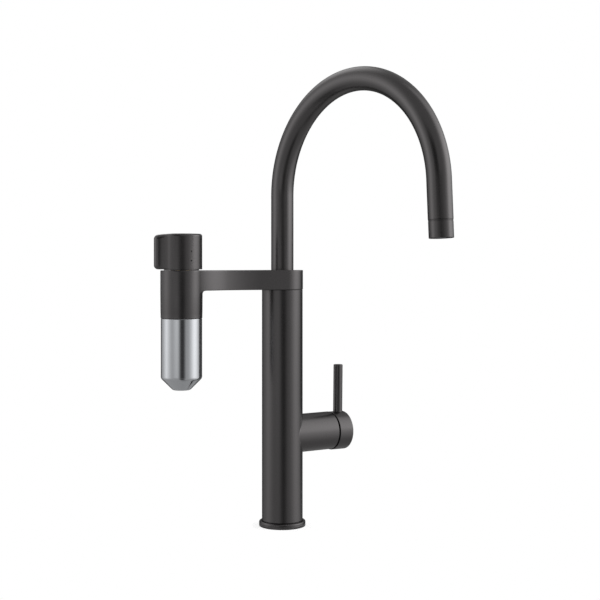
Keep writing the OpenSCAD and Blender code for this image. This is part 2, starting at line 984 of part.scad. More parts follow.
module filter_knob() {
    color(black_finish)
    at_filter()
        difference() {
            union() {
                turned([
                    [0, arm_top + foot_gap, 0],
                    [foot_r, arm_top + foot_gap, 0],
                    [foot_r, knob_z, 0],
                    [knob_r - 0.3, knob_z, 0],
                    [knob_r, knob_z + 0.3, 0],
                    [knob_r, knob_top, knob_round],
                    [0, knob_top, 0]
                ]);
                intersection() {
                    translate([0, 0, knob_z])
                        linear_extrude(knob_h)
                            rotate(lobe_angle)
                                waisted_link(lobe_reach - lobe_tip_r, knob_r - 0.4, lobe_tip_r, lobe_flank_r);
                    turned([
                        [0, knob_z, 0],
                        [lobe_reach + 0.2, knob_z, lobe_round],
                        [lobe_reach + 0.2, knob_top - lobe_fall, lobe_round],
                        [knob_r - 1.2, knob_top, 8],
                        [0, knob_top, 0]
                    ]);
                }
            }
            rod(valve_recess_r, arm_top, knob_z + 2);
            rod(valve_neck_r + 0.8, knob_z, neck_top + 0.8);
            rod(spindle_r + snug / 2, knob_z, spindle_top + 0.5);
            translate([0, 0, knob_screw_z()])
                rotate([-90, 0, 0])
                    cylinder(r = screw_hole_r, h = knob_r + past);
            for (z = pit_levels())
                translate([0, pit_depth - knob_r, z])
                    rotate([90, 0, 0])
                        cylinder(r = pit_r, h = pit_depth + past, $fn = 24);
        }
}

// Levels of the two index pits on the knob's front
function pit_levels() = [knob_z + 8.1, knob_z + 16.9];

// Level of the screw that clamps the knob on its spindle
function knob_screw_z() = spindle_top - 7;

module knob_screw() {
    color(steel)
    at_filter()
        translate([0, 0, knob_screw_z()])
            rotate([-90, 0, 0])
                difference() {
                    rod(screw_r, spindle_r + snug, spindle_r + snug + knob_screw_l);
                    translate([0, 0, spindle_r + snug + knob_screw_l - hex_depth])
                        cylinder(r = hex_r, h = hex_depth + past, $fn = 6);
                }
}

// Filter capsule

module capsule_cap() {
    color(plastic_white)
    at_filter()
        difference() {
            union() {
                rod(capsule_r, capsule_top - 8, capsule_top);
                rod(spigot_r, capsule_top - 1, spigot_top);
            }
            for (z = capsule_ring_levels())
                tube(spigot_r + past, spigot_r - 1, z, z + 1.6);
            tube(capsule_r + past, capsule_r - 1.2, capsule_top - 9, capsule_top - 3);
            rod(2, capsule_top - 9, spigot_top + past);
        }
}

// Levels of the two sealing rings on the capsule's spigot
function capsule_ring_levels() = [head_bottom + 2, head_bottom + 6];

module capsule_o_rings() {
    color(rubber_black)
    at_filter()
        for (z = capsule_ring_levels())
            tube(spigot_r, spigot_r - 0.95, z + 0.05, z + 1.55);
}

module capsule_shell() {
    color(plastic_white)
    at_filter()
        difference() {
            turned([
                [0, capsule_bottom, 0],
                [capsule_r, capsule_bottom, 2],
                [capsule_r, capsule_top - 3.1, 0],
                [0, capsule_top - 3.1, 0]
            ]);
            rod(capsule_r - 1.1, capsule_bottom + 1.6, capsule_top);
        }
}

module carbon_block() {
    color(carbon_black)
    at_filter()
        tube(capsule_r - 1.6, capsule_r - 6, capsule_bottom + 1.7, capsule_top - 8.1);
}

module membrane_bundle() {
    color(ceramic_white)
    at_filter()
        rod(capsule_r - 6.2, capsule_bottom + 1.7, capsule_top - 8.1);
}

// Steel cup

module steel_cup() {
    color(steel)
    at_filter()
        rotate_extrude()
            polygon(rounded([
                [0, cup_foot, 0],
                [cup_r - cup_cone, cup_foot, cup_round],
                [cup_r, cup_foot + cup_cone, cup_round],
                [cup_r, cup_rim, 0.4],
                [cup_r - cup_wall, cup_rim, 0],
                [cup_r - cup_wall, cup_foot + cup_cone + cup_inner_rise(), cup_round - 1],
                [cup_r - cup_cone - cup_inner_rise(), cup_foot + cup_wall, cup_round - 1],
                [0, cup_foot + cup_wall, 0]
            ]));
}

// Shift of the inner corners that keeps the cone's wall as thick as the side
function cup_inner_rise() = cup_wall * tan(22.5);

module cup_thread_ring() {
    color(plastic_white)
    at_filter()
        difference() {
            union() {
                tube(cup_r - cup_wall - 0.05, ring_bore, cup_rim - 8, cup_rim - 0.2);
                tube(ring_r, ring_bore, cup_rim - 0.5, ring_top);
            }
            for (turn = [0:120:240])
                rotate([0, 0, turn])
                    translate([0, 0, cup_rim + 6])
                        rotate_extrude(angle = 50)
                            translate([ring_r - 0.5, 0]) square([2, 2.4]);
        }
}

module cup_seal() {
    color(rubber_black)
    at_filter()
        tube(ring_r, ring_bore, ring_top, ring_top + 1.6);
}

base_ring();
base_seal();
base_insert();
column_shell();
inlet_pipe(-1);  // hot_inlet_pipe
inlet_pipe(1);  // cold_inlet_pipe
mixer_core();
mixed_water_riser();
raw_water_riser();
cartridge_seals();
cartridge_body();
fixed_ceramic_disc();
mixing_disc();
cartridge_nut();
cartridge_turret();
lever_pivot_pin();
cartridge_stem();
dome_cover();
lever_cap();
lever_pin();
lever_grub_screw();
swivel_socket();
filtered_water_nozzle();
swivel_washer();
swivel_stop_screw();
swivel_clip();
spout_collar();
spout_o_rings();
spout_tube();
filtered_water_hose();
aerator_sleeve();
aerator_seal();
aerator_insert();
arm_gasket();
filter_arm();
arm_lock_screw();
color(plastic_white) arm_tube(1);  // raw_arm_tube
color(plastic_white) arm_tube(-1);  // filtered_arm_tube
filter_head();
filter_valve_body();
valve_fixed_disc();
valve_moving_disc();
valve_spindle();
filter_knob();
knob_screw();
capsule_cap();
capsule_o_rings();
capsule_shell();
carbon_block();
membrane_bundle();
steel_cup();
cup_thread_ring();
cup_seal();
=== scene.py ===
"""Smooth outer pieces, finishes and studio of a single-lever kitchen mixer tap with a filter arm.

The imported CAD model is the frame. The visible shells are surfaces worked out with numpy, the inner
pieces keep their CAD shapes, and every piece gets a procedural finish. Lengths are in metres.
"""

import json
from math import acos, atan2, cos, pi, radians, sin, sqrt, tan

import bmesh
import bpy
import numpy as np
from bpy.props import FloatProperty, FloatVectorProperty, PointerProperty
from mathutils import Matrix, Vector
from mathutils.geometry import tessellate_polygon


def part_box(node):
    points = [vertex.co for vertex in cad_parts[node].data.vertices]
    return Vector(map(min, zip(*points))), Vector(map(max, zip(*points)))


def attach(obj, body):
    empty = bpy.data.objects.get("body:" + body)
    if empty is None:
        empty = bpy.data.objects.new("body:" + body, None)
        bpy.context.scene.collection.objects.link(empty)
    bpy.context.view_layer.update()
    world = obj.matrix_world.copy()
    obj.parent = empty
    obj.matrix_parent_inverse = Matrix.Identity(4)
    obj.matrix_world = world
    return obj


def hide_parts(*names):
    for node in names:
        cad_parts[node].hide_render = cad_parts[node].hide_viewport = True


bl_info = {
    "name": "Filter kitchen mixer tap",
    "version": (1, 0, 0),
    "blender": (4, 5, 0),
    "location": "3D View > Sidebar > Mixer tap",
    "description": "Shells, finishes and studio of a kitchen mixer tap with a filter arm",
    "category": "Add Mesh",
}

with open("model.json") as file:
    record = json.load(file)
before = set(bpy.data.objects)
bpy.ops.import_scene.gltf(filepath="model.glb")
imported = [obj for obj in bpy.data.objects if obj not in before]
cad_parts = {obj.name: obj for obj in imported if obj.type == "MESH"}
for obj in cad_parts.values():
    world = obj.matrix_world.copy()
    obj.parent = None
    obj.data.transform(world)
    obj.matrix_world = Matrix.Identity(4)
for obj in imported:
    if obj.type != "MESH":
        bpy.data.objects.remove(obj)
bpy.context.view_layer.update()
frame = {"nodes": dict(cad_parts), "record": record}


def low(node):
    """Lowest corner of a CAD node."""
    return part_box(node)[0]


def high(node):
    """Highest corner of a CAD node."""
    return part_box(node)[1]


# Sizes that the frame already gives
COLUMN_R = high("column_shell").y
COLUMN_FOOT = low("column_shell").z
COLUMN_TOP = high("column_shell").z
BRANCH_END = high("column_shell").x
BRANCH_R = high("lever_cap").y
BRANCH_Z = (low("lever_cap").z + high("lever_cap").z) / 2
CAP_X = low("lever_cap").x
CAP_END = high("lever_cap").x
PIN_R = high("lever_pin").y
PIN_X = high("lever_pin").x - PIN_R
PIN_FOOT = low("lever_pin").z
PIN_TOP = high("lever_pin").z
BASE_R = high("base_ring").x
EYE_R = high("filter_arm").x
ARM_TOP = high("filter_arm").z
HOLDER_RIM = low("filter_arm").z
CUP_R = high("steel_cup").y
FILTER_X = low("steel_cup").x + CUP_R
CUP_FOOT = low("steel_cup").z
CUP_RIM = high("steel_cup").z
HOLDER_R = FILTER_X - low("filter_arm").x
KNOB_R = high("filter_knob").x - FILTER_X
KNOB_FOOT = low("filter_knob").z
KNOB_Z = ARM_TOP + 0.001
KNOB_TOP = high("filter_knob").z
SPOUT_R = high("spout_tube").y
TUBE_FOOT = low("spout_tube").z
TUBE_TOP = high("spout_tube").z

# Distance from a rounded edge at which a face is flat again, so that smooth shading stays true
GUARD = 0.00012
# Angle between faces above which their edge is shaded sharp
SHARP = radians(35)
# Radius of the holes for the M4 screws in the arm's eye and the knob
SCREW_HOLE_R = 0.00205


class TapSizes(bpy.types.PropertyGroup):
    """Sizes that the frame's boxes don't give."""

    wall: FloatProperty(
        name="Column wall", description="Wall of the column and branch", default=0.002, unit="LENGTH")
    edge: FloatProperty(
        name="Edge rounding", description="Rounding of the turned edges", default=0.0004, unit="LENGTH")
    arch_radius: FloatProperty(
        name="Arch radius", description="Radius of the arch's centre line", default=0.1045, unit="LENGTH")
    arch_sweep: FloatProperty(
        name="Arch sweep", description="Angle of the spout's arch", default=radians(177), subtype="ANGLE")
    spout_turn: FloatProperty(
        name="Spout turn", description="Angle from straight ahead", default=radians(7.4), subtype="ANGLE")
    swell: FloatProperty(
        name="Swell", description="Seen radii less the frame's", default=0.00015, unit="LENGTH")
    spout_wall: FloatProperty(
        name="Spout wall", description="Wall of the spout tube", default=0.0015, unit="LENGTH")
    outlet_straight: FloatProperty(
        name="Outlet straight", description="Straight part after the arch", default=0.035, unit="LENGTH")
    sleeve: FloatProperty(
        name="Outlet sleeve", description="Length of the outlet sleeve", default=0.016, unit="LENGTH")
    waist: FloatProperty(
        name="Arm waist", description="Width of the arm at its waist", default=0.014, unit="LENGTH")
    waist_at: FloatProperty(
        name="Waist place", description="Distance from the filter's axis", default=0.0465, unit="LENGTH")
    slope: FloatProperty(
        name="Flank slope", description="Slope of the straight part", default=radians(16.2),
        subtype="ANGLE")
    fillet: FloatProperty(
        name="Arm fillet", description="Fillet between arm and holder", default=0.003, unit="LENGTH")
    arm_edge: FloatProperty(
        name="Arm edge", description="Rounding of the arm's long edges", default=0.0005, unit="LENGTH")
    holder_bore: FloatProperty(
        name="Holder bore", description="Inside radius of the holder", default=0.018, unit="LENGTH")
    seam_rise: FloatProperty(
        name="Seam rise", description="Height above the frame's seam", default=0.0009, unit="LENGTH")
    cup_wall: FloatProperty(
        name="Cup wall", description="Wall of the steel cup", default=0.0012, unit="LENGTH")
    cup_cone: FloatProperty(
        name="Cup cone", description="Height of the cup's cone", default=0.0113, unit="LENGTH")
    cup_drop: FloatProperty(
        name="Cup drop", description="Drop of the foot below the frame's", default=0.0007, unit="LENGTH")
    cup_round: FloatProperty(
        name="Cup rounding", description="Rounding of the cone's ends", default=0.004, unit="LENGTH")
    lobe_reach: FloatProperty(
        name="Lobe reach", description="Reach from the knob's axis", default=0.0272, unit="LENGTH")
    lobe_tip: FloatProperty(
        name="Lobe tip", description="Radius of the lobe's tip", default=0.0047, unit="LENGTH")
    lobe_flank: FloatProperty(
        name="Lobe flank", description="Radius of the lobe's hollows", default=0.016, unit="LENGTH")
    lobe_angle: FloatProperty(
        name="Lobe angle", description="Angle from the lever's side", default=radians(172), subtype="ANGLE")
    lobe_round: FloatProperty(
        name="Lobe rounding", description="Rounding of edges at the tip", default=0.004, unit="LENGTH")
    lobe_fall: FloatProperty(
        name="Lobe fall", description="Fall of the lobe's top to its tip", default=0.0011, unit="LENGTH")
    knob_round: FloatProperty(
        name="Knob rounding", description="Rounding of the top edge", default=0.0022, unit="LENGTH")
    knob_foot: FloatProperty(
        name="Knob foot", description="Radius of the foot in the gap", default=0.0166, unit="LENGTH")
    pin_r: FloatProperty(
        name="Pin radius", description="Radius of the lever pin", default=0.0047, unit="LENGTH")
    pin_back: FloatProperty(
        name="Pin back", description="Distance back from the frame's", default=0.00035, unit="LENGTH")
    lean: FloatProperty(
        name="Lever lean", description="Outward lean at rest", default=radians(0.68), subtype="ANGLE")
    cap_extra: FloatProperty(
        name="Cap extra", description="Cap's radius less the branch's", default=0.0003, unit="LENGTH")
    cap_drop: FloatProperty(
        name="Cap drop", description="Drop below the branch's axis", default=0.0003, unit="LENGTH")
    cap_wall: FloatProperty(
        name="Cap wall", description="Wall of the lever cap", default=0.0011, unit="LENGTH")


class TapFinishes(bpy.types.PropertyGroup):
    """Colours of the finishes."""

    black: FloatVectorProperty(
        name="Black finish", description="Satin black coating", default=(0.113, 0.108, 0.109),
        subtype="COLOR")
    steel: FloatVectorProperty(
        name="Steel", description="Turned stainless steel", default=(0.597, 0.612, 0.636), subtype="COLOR")
    brass: FloatVectorProperty(
        name="Brass", description="Turned brass", default=(0.78, 0.6, 0.33), subtype="COLOR")
    copper: FloatVectorProperty(
        name="Copper", description="Drawn copper of the pipes", default=(0.78, 0.42, 0.28), subtype="COLOR")
    ceramic: FloatVectorProperty(
        name="Ceramic", description="Ground ceramic of the discs", default=(0.86, 0.85, 0.8),
        subtype="COLOR")
    rubber: FloatVectorProperty(
        name="Rubber", description="Rubber of the seals", default=(0.018, 0.018, 0.018), subtype="COLOR")
    white_plastic: FloatVectorProperty(
        name="White plastic", description="Plastic of the capsule", default=(0.75, 0.76, 0.76),
        subtype="COLOR")
    grey_plastic: FloatVectorProperty(
        name="Grey plastic", description="Plastic of the aerator", default=(0.27, 0.28, 0.3),
        subtype="COLOR")
    carbon: FloatVectorProperty(
        name="Carbon", description="Pressed carbon", default=(0.015, 0.015, 0.015), subtype="COLOR")
    membrane: FloatVectorProperty(
        name="Membrane", description="Fibre bundle", default=(0.82, 0.81, 0.76), subtype="COLOR")


class TapStudio(bpy.types.PropertyGroup):
    """Camera and light."""

    lens: FloatProperty(
        name="Lens", description="Focal length on a 36 mm sensor", default=71.22, unit="CAMERA")
    shift: FloatProperty(
        name="Shift", description="Upward shift of the view, as a share of its width", default=-0.0602)
    aside: FloatProperty(
        name="Shift aside", description="Shift to the right, as a share of the width", default=0.0006)
    camera_place: FloatVectorProperty(
        name="Camera place", description="Where the camera stands", default=(-0.648, -0.992, 0.26065),
        subtype="TRANSLATION", unit="LENGTH", precision=4)
    heading: FloatProperty(
        name="Heading", description="Turn to the right of +Y", default=radians(33.99), subtype="ANGLE")
    surround_r: FloatProperty(
        name="Surround radius", description="Radius of the dome of light", default=3, unit="LENGTH")
    surround_z: FloatProperty(
        name="Surround height", description="Height of the dome's middle", default=0.22, unit="LENGTH")
    grey: FloatVectorProperty(
        name="Surround grey", description="Level overhead, at the horizon and below",
        default=(0.375, 0.43, 0.364))
    floor_r: FloatProperty(
        name="Floor radius", description="Radius of the round floor", default=0.03, unit="LENGTH")


# Surfaces


def direction(t):
    """Unit vectors (cos t, sin t)."""
    return np.stack((np.cos(t), np.sin(t)), axis=-1)


def round_axis(r, t, z):
    """Points (r cos t, r sin t, z) round the Z axis."""
    return np.stack(np.broadcast_arrays(r * np.cos(t), r * np.sin(t), z), axis=-1)


def turn_from(start, t):
    """Turn from the angle start to the angles t, between -180 and 180 degrees."""
    return (t - start + pi) % (2 * pi) - pi


def rounded(corners, steps=6):
    """Outline through corners given as (radius, height, rounding). A rounded corner is the arc that
    touches both sides: its centre lies on the bisector at rounding / sin(half the corner's angle), and
    a point on each side, a fifth of the rounding away, keeps the shading of that side flat."""
    corners = np.asarray(corners, float)
    place = corners[:, :2]
    pieces = [place[:1]]
    for before, here, after, r in zip(place[:-2], place[1:-1], place[2:], corners[1:-1, 2]):
        if r <= 0:
            pieces.append(here[None])
            continue
        u = (before - here) / np.linalg.norm(before - here)
        v = (after - here) / np.linalg.norm(after - here)
        half = acos(np.clip(u @ v, -1, 1)) / 2
        centre = here + (u + v) / np.linalg.norm(u + v) * r / sin(half)
        p = here + u * r / tan(half)
        q = here + v * r / tan(half)
        start = atan2(*(p - centre)[::-1])
        turn = (atan2(*(q - centre)[::-1]) - start + 3 * pi) % (2 * pi) - pi
        t = start + turn * np.linspace(0, 1, steps + 1)
        pieces += [(p + u * r / 5)[None], centre + r * direction(t), (q + v * r / 5)[None]]
    pieces.append(place[-1:])
    return np.concatenate(pieces)


def turned(outline, angles=192):
    """Surface of revolution: (r cos t, r sin t, h) for each outline point (r, h) and each angle t."""
    if np.isscalar(angles):
        angles = np.linspace(-pi, pi, angles, endpoint=False)
    r, h = np.asarray(outline, float).T
    return round_axis(r[:, None], angles, h[:, None])


def on_branch(points):
    """From the branch's frame, with its axis as z, to the tap's: z runs along +X and x points down."""
    return np.stack((points[..., 2], points[..., 1], BRANCH_Z - points[..., 0]), axis=-1)


def at_filter(points):
    """From the filter's axis to the tap's frame."""
    return points + np.array((FILTER_X, 0, 0))


def turned_about_z(points, angle):
    """Points turned about the Z axis: (x cos a - y sin a, x sin a + y cos a, z)."""
    c, s = cos(angle), sin(angle)
    x, y, z = np.moveaxis(points, -1, 0)
    return np.stack((x * c - y * s, x * s + y * c, z), axis=-1)


def turned_about_y(points, angle):
    """Points turned about the Y axis: (x cos a + z sin a, y, z cos a - x sin a)."""
    c, s = cos(angle), sin(angle)
    x, y, z = np.moveaxis(points, -1, 0)
    return np.stack((x * c + z * s, y, z * c - x * s), axis=-1)


def block_of(rows, columns):
    """Block of grid cells where the marks of its rows and columns are set: their first and last."""
    r, c = np.flatnonzero(rows), np.flatnonzero(columns)
    return r[0], r[-1], c[0], c[-1]


def rim_of(block):
    """Rows and columns of the grid points round a block, in order along its four sides."""
    r0, r1, c0, c1 = block
    r, c = np.arange(r0, r1), np.arange(c0, c1)
    return (np.concatenate((0 * c + r0, r, 0 * c + r1, r[::-1] + 1)),
            np.concatenate((c, 0 * r + c1, c[::-1] + 1, 0 * r + c0)))


def around_hole(rim, radius, angle, height, hole_r, steps=6, spread=None):
    """Skin of a round wall between a closed rim and a hole drilled square to the wall's axis.
    The hole's points lie at the directions w of the rim's points seen from the hole's centre, with
    angles laid out at the radius spread: on the wall they are at the angle asin(hole_r cos w / radius)
    and the height hole_r sin w. Angle and height then run from the hole's edge, row 0, to the rim."""
    rim_angle = turn_from(angle, np.arctan2(rim[:, 1], rim[:, 0]))
    w = np.arctan2(rim[:, 2] - height, rim_angle * (spread or radius))
    hole_angle = np.arcsin(hole_r * np.cos(w) / radius)
    hole_height = height + hole_r * np.sin(w)
    u = np.linspace(0, 1, steps + 1)[:, None] ** 1.5
    t = angle + hole_angle + (rim_angle - hole_angle) * u
    return round_axis(radius, t, hole_height + (rim[:, 2] - hole_height) * u)


def blind_hole(edge, angle, floor, point=0.0):
    """Wall and floor of a hole: the edge's points go straight in, along the hole's direction, to the
    given distance from the axis, and the floor closes at its middle, deeper by the drill's point."""
    inward = np.array((cos(angle), sin(angle), 0))
    foot = edge - np.outer(edge @ inward - floor, inward)
    middle = np.repeat((foot.mean(axis=0) - point * inward)[None], len(edge), axis=0)
    return np.stack((edge, foot, middle))


def hollow(centre, radius, turns):
    """Points of a hollow arc, c + r (cos t, sin t), and their outward normals, which point to c."""
    away = direction(turns)
    return centre + radius * away, -away


def link_outline(length, first_r, second_r, flank, leaning, first_steps, second_steps):
    """Closed outline of two circles joined by a flank, with its outward normals. The upper half runs
    from the first circle's far side, t = 180 degrees, along its arc, along the flank's points and along
    the second circle's arc to t = 0; the lower half is its mirror image."""
    t1 = np.linspace(pi, atan2(*leaning[0, ::-1]), first_steps + 1)
    t2 = np.linspace(atan2(*leaning[-1, ::-1]), 0, second_steps + 1)
    n1, n2 = direction(t1), direction(t2)
    points = np.concatenate((first_r * n1, flank[1:-1], (length, 0) + second_r * n2))
    normals = np.concatenate((n1, leaning[1:-1], n2))
    back = np.array((1, -1))
    return (np.concatenate((points, points[-2:0:-1] * back)),
            np.concatenate((normals, normals[-2:0:-1] * back)))


def rounded_wall(outline, normal, ends, rounding, guards, steps, levels):
    """Rows of a wall over an outline, from ends[0] up to ends[1]. Its edges are rounded by rows that
    move in along the outline's normals, by r (1 - sin q) at the height r (1 - cos q) above the foot and
    by r (1 - cos q) at r sin q over the straight part, with one flat guard row at each end."""
    q = np.linspace(0, pi / 2, steps)
    (foot, top), (low_r, top_r) = ends, rounding
    z0, z1 = foot + low_r, top - top_r
    rows = [(low_r + guards[0], foot)]
    rows += [(low_r * (1 - sin(k)), foot + low_r * (1 - cos(k))) for k in q]
    rows += [(0, z0 + (z1 - z0) * k) for k in np.linspace(0, 1, levels)[1:]]
    rows += [(top_r * (1 - cos(k)), z1 + top_r * sin(k)) for k in q[1:]]
    rows += [(top_r + guards[1], top)]
    return np.stack([np.column_stack((outline - normal * np.reshape(inset, (-1, 1)),
                                      z + 0 * outline[:, 0])) for inset, z in rows])


def put(name, data):
    """An object in the scene."""
    made = bpy.data.objects.new(name, data)
    bpy.context.scene.collection.objects.link(made)
    return made


def quads(rows, columns, wrap_rows=False, wrap_columns=True):
    """Corners of the four-sided faces between neighbours of a grid of points."""
    index = np.arange(rows * columns).reshape(rows, columns)
    r = np.arange(rows - (not wrap_rows))
    c = np.arange(columns - (not wrap_columns))
    r2, c2 = (r + 1) % rows, (c + 1) % columns
    return np.stack([index[np.ix_(a, b)] for a, b in ((r, c), (r, c2), (r2, c2), (r2, c))], axis=-1)


class Shell:
    """Patches that are welded into one mesh where their points meet."""

    def __init__(self):
        self.points = []
        self.faces = []
        self.count = 0

    def add(self, points, faces):
        """Keeps a patch; its faces count from its own first point."""
        self.points.append(points.reshape(-1, 3))
        self.faces += (np.asarray(faces) + self.count).tolist()
        self.count += len(self.points[-1])

    def grid(self, points, wrap_rows=False, wrap_columns=True, blocks=()):
        """Faces between neighbours of a grid of points, without those in the blocks."""
        faces = quads(*points.shape[:2], wrap_rows, wrap_columns)
        keep = np.ones(faces.shape[:2], bool)
        for r0, r1, c0, c1 in blocks:
            keep[r0:r1, c0:c1] = False
        self.add(points, faces[keep])

    def drill(self, rim, radius, angle, height, hole_r, floor, point=0.0, steps=6, at=0.0):
        """Fills the opening inside a rim with a blind hole and the skin round it, moved by at."""
        patch = around_hole(rim, radius, angle, height, hole_r, steps)
        self.grid(patch + at)
        self.grid(blind_hole(patch[0], angle, floor, point) + at)

    def flat(self, *loops):
        """A flat face inside the first loop of points and outside the others."""
        triangles = tessellate_polygon([[Vector(p) for p in loop] for loop in loops])
        self.add(np.concatenate(loops), np.array([list(t) for t in triangles]))

    def build(self, name, body, nodes, slot, place=None):
        """Welds the patches, turns the faces outwards and puts the piece on its body."""
        points = np.concatenate(self.points)
        if place:
            points = place(points)
        mesh = bpy.data.meshes.new(name)
        mesh.from_pydata(points, [], self.faces)
        b = bmesh.new()
        b.from_mesh(mesh)
        bmesh.ops.remove_doubles(b, verts=b.verts, dist=2e-6)
        bmesh.ops.recalc_face_normals(b, faces=b.faces)
        b.to_mesh(mesh)
        b.free()
        mesh.shade_smooth()
        mesh.set_sharp_from_angle(angle=SHARP)
        mesh.materials.append(bpy.data.materials["tap_" + slot])
        piece = put(name, mesh)
        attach(piece, body)
        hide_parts(*nodes)


# Pieces


def make_base(s):
    """Base ring: a turned collar with a rounded lip, a fine groove at mid height and a seat rebate."""
    bore, seat_r, foot_r = COLUMN_R - s.wall, COLUMN_R - 0.0006, BASE_R - 0.0015
    lip, rebate, groove = COLUMN_FOOT - 0.0003, 0.0012, 0.0002
    shell = Shell()
    shell.grid(turned(rounded([
        (bore, COLUMN_FOOT, 0), (seat_r, COLUMN_FOOT, 0), (seat_r, lip - 0.0001, 0),
        (COLUMN_R - 0.0001, lip - 0.0001, 0), (COLUMN_R + 0.0002, lip, 0.0001),
        (BASE_R, lip, 0.0015), (BASE_R, lip * 0.56, 0.0001), (BASE_R - groove, lip * 0.5, 0.0001),
        (BASE_R, lip * 0.44, 0.0001), (BASE_R, 0, 0.0003), (foot_r, 0, 0), (foot_r, rebate, 0),
        (bore + 0.0009, rebate, 0), (bore + 0.0009, 0, 0), (bore, 0, 0),
    ])), wrap_rows=True)
    shell.build("base_ring_shell", "root", ["base_ring"], "black_finish")


def column_skin(shell, radius, hole_r, foot, top):
    """One wall of the column, open where the branch meets it, with even rows between the outlines of
    its foot and top; returns the saddle-shaped edge and the wall's first and last rows."""
    zone = pi / 2 * COLUMN_R
    rows = BRANCH_Z + zone * np.linspace(-1, 1, 81)
    outline = np.concatenate((foot, np.stack((0 * rows + radius, rows), axis=-1), top))
    wall = turned(outline)
    angles = np.arctan2(wall[0, :, 1], wall[0, :, 0])
    block = block_of(np.abs(outline[:, 1] - BRANCH_Z) <= zone + 1e-6,
                     np.abs(angles) <= pi / 2 + 1e-6)
    shell.grid(wall, blocks=[block])
    patch = around_hole(wall[rim_of(block)], radius, 0, BRANCH_Z, hole_r, steps=14, spread=COLUMN_R)
    shell.grid(patch)
    return patch[0], wall[0], wall[-1]


def make_column(s):
    """Column and branch: two round walls that meet in a saddle line. The branch's rows run from the
    saddle to its end, over the rounded end and back along its bore to the inner saddle."""
    shell = Shell()
    bore, branch_bore, e = COLUMN_R - s.wall, BRANCH_R - s.wall, s.edge
    # Heights of the rows below and above the branch's zone, and the rounding of the lesser edges
    below, above, soft = 0.02, 0.2, 0.0002
    outer, outer_foot, outer_top = column_skin(
        shell, COLUMN_R, BRANCH_R,
        rounded([(COLUMN_R - e, COLUMN_FOOT, 0), (COLUMN_R, COLUMN_FOOT + e, soft), (COLUMN_R, below, 0)]),
        rounded([(COLUMN_R, above, 0), (COLUMN_R, COLUMN_TOP - e, soft), (COLUMN_R - e, COLUMN_TOP, 0)]))
    inner, inner_foot, inner_top = column_skin(
        shell, bore, branch_bore, [(bore, COLUMN_FOOT)], [(bore, COLUMN_TOP)])
    shell.grid(np.stack((outer_foot, inner_foot)))
    shell.grid(np.stack((outer_top, inner_top)))
    w = np.arctan2(-outer[:, 2] + BRANCH_Z, outer[:, 1])

    def ring(r, x):
        return np.stack((np.full(len(w), x), r * np.cos(w), BRANCH_Z - r * np.sin(w)), axis=-1)

    share = np.array((0, 0.02, 0.1, 0.3, 0.6, 0.9, 1))[:, None, None]
    inside, end = BRANCH_END - 0.002, BRANCH_END - 0.0002
    outline = rounded([(BRANCH_R, inside, 0), (BRANCH_R, end, e),
                       (branch_bore, end, soft), (branch_bore, inside, 0)])
    lip = np.stack([ring(r, x) for r, x in outline])
    shell.grid(np.concatenate((outer + (lip[0] - outer) * share, lip[1:-1],
                               lip[-1] + (inner - lip[-1]) * share)))
    shell.build("column_shell_skin", "root", ["column_shell"], "black_finish")


def spout_path(s):
    """Centre line of the spout in its own upright plane and the direction away from the arch's centre.
    It rises, follows x = R (1 - cos a), z = R sin a round the arch and runs straight on at its end."""
    arch_z = TUBE_TOP - s.arch_radius - SPOUT_R
    rise = np.linspace(TUBE_FOOT, arch_z, 12)[:-1]
    a = np.linspace(0, s.arch_sweep, 181)
    centre = np.stack((s.arch_radius * (1 - np.cos(a)), 0 * a, arch_z + s.arch_radius * np.sin(a)),
                      axis=-1)
    away = np.stack((-np.cos(a), 0 * a, np.sin(a)), axis=-1)
    down = np.array((sin(s.arch_sweep), 0, cos(s.arch_sweep)))
    tail = np.array((0.3, 0.7, 0.97, 1 - 0.0004 / s.outlet_straight,
                     1 - 0.0003 / s.outlet_straight, 1)) * s.outlet_straight
    centre = np.concatenate((rise[:, None] * (0, 0, 1), centre, centre[-1] + tail[:, None] * down))
    away = np.concatenate((np.repeat(away[:1], len(rise), axis=0), away,
                           np.repeat(away[-1:], len(tail), axis=0)))
    return centre, away


def make_spout(s):
    """Spout tube: a ring carried along the centre line, p + r (cos t away + sin t sideways), outside and
    back along the bore. The last 0.3 mm is turned down for the seam with the sleeve."""
    centre, away = spout_path(s)
    seam_depth = 0.00025
    r = np.full(len(centre), SPOUT_R + s.swell)
    r[-2:] -= seam_depth
    bore = SPOUT_R - s.spout_wall
    t = np.linspace(0, 2 * pi, 128, endpoint=False)
    ring = np.cos(t)[None, :, None] * away[:, None] + np.sin(t)[None, :, None] * np.array((0, 1, 0))
    outside = centre[:, None] + r[:, None, None] * ring
    inside = centre[:, None] + bore * ring
    shell = Shell()
    shell.grid(np.concatenate((outside, inside[::-1])), wrap_rows=True)
    turn = s.spout_turn - pi / 2
    shell.build("spout_tube_bend", "spout", ["spout_tube"], "black_finish",
                place=lambda p: turned_about_z(p, turn))


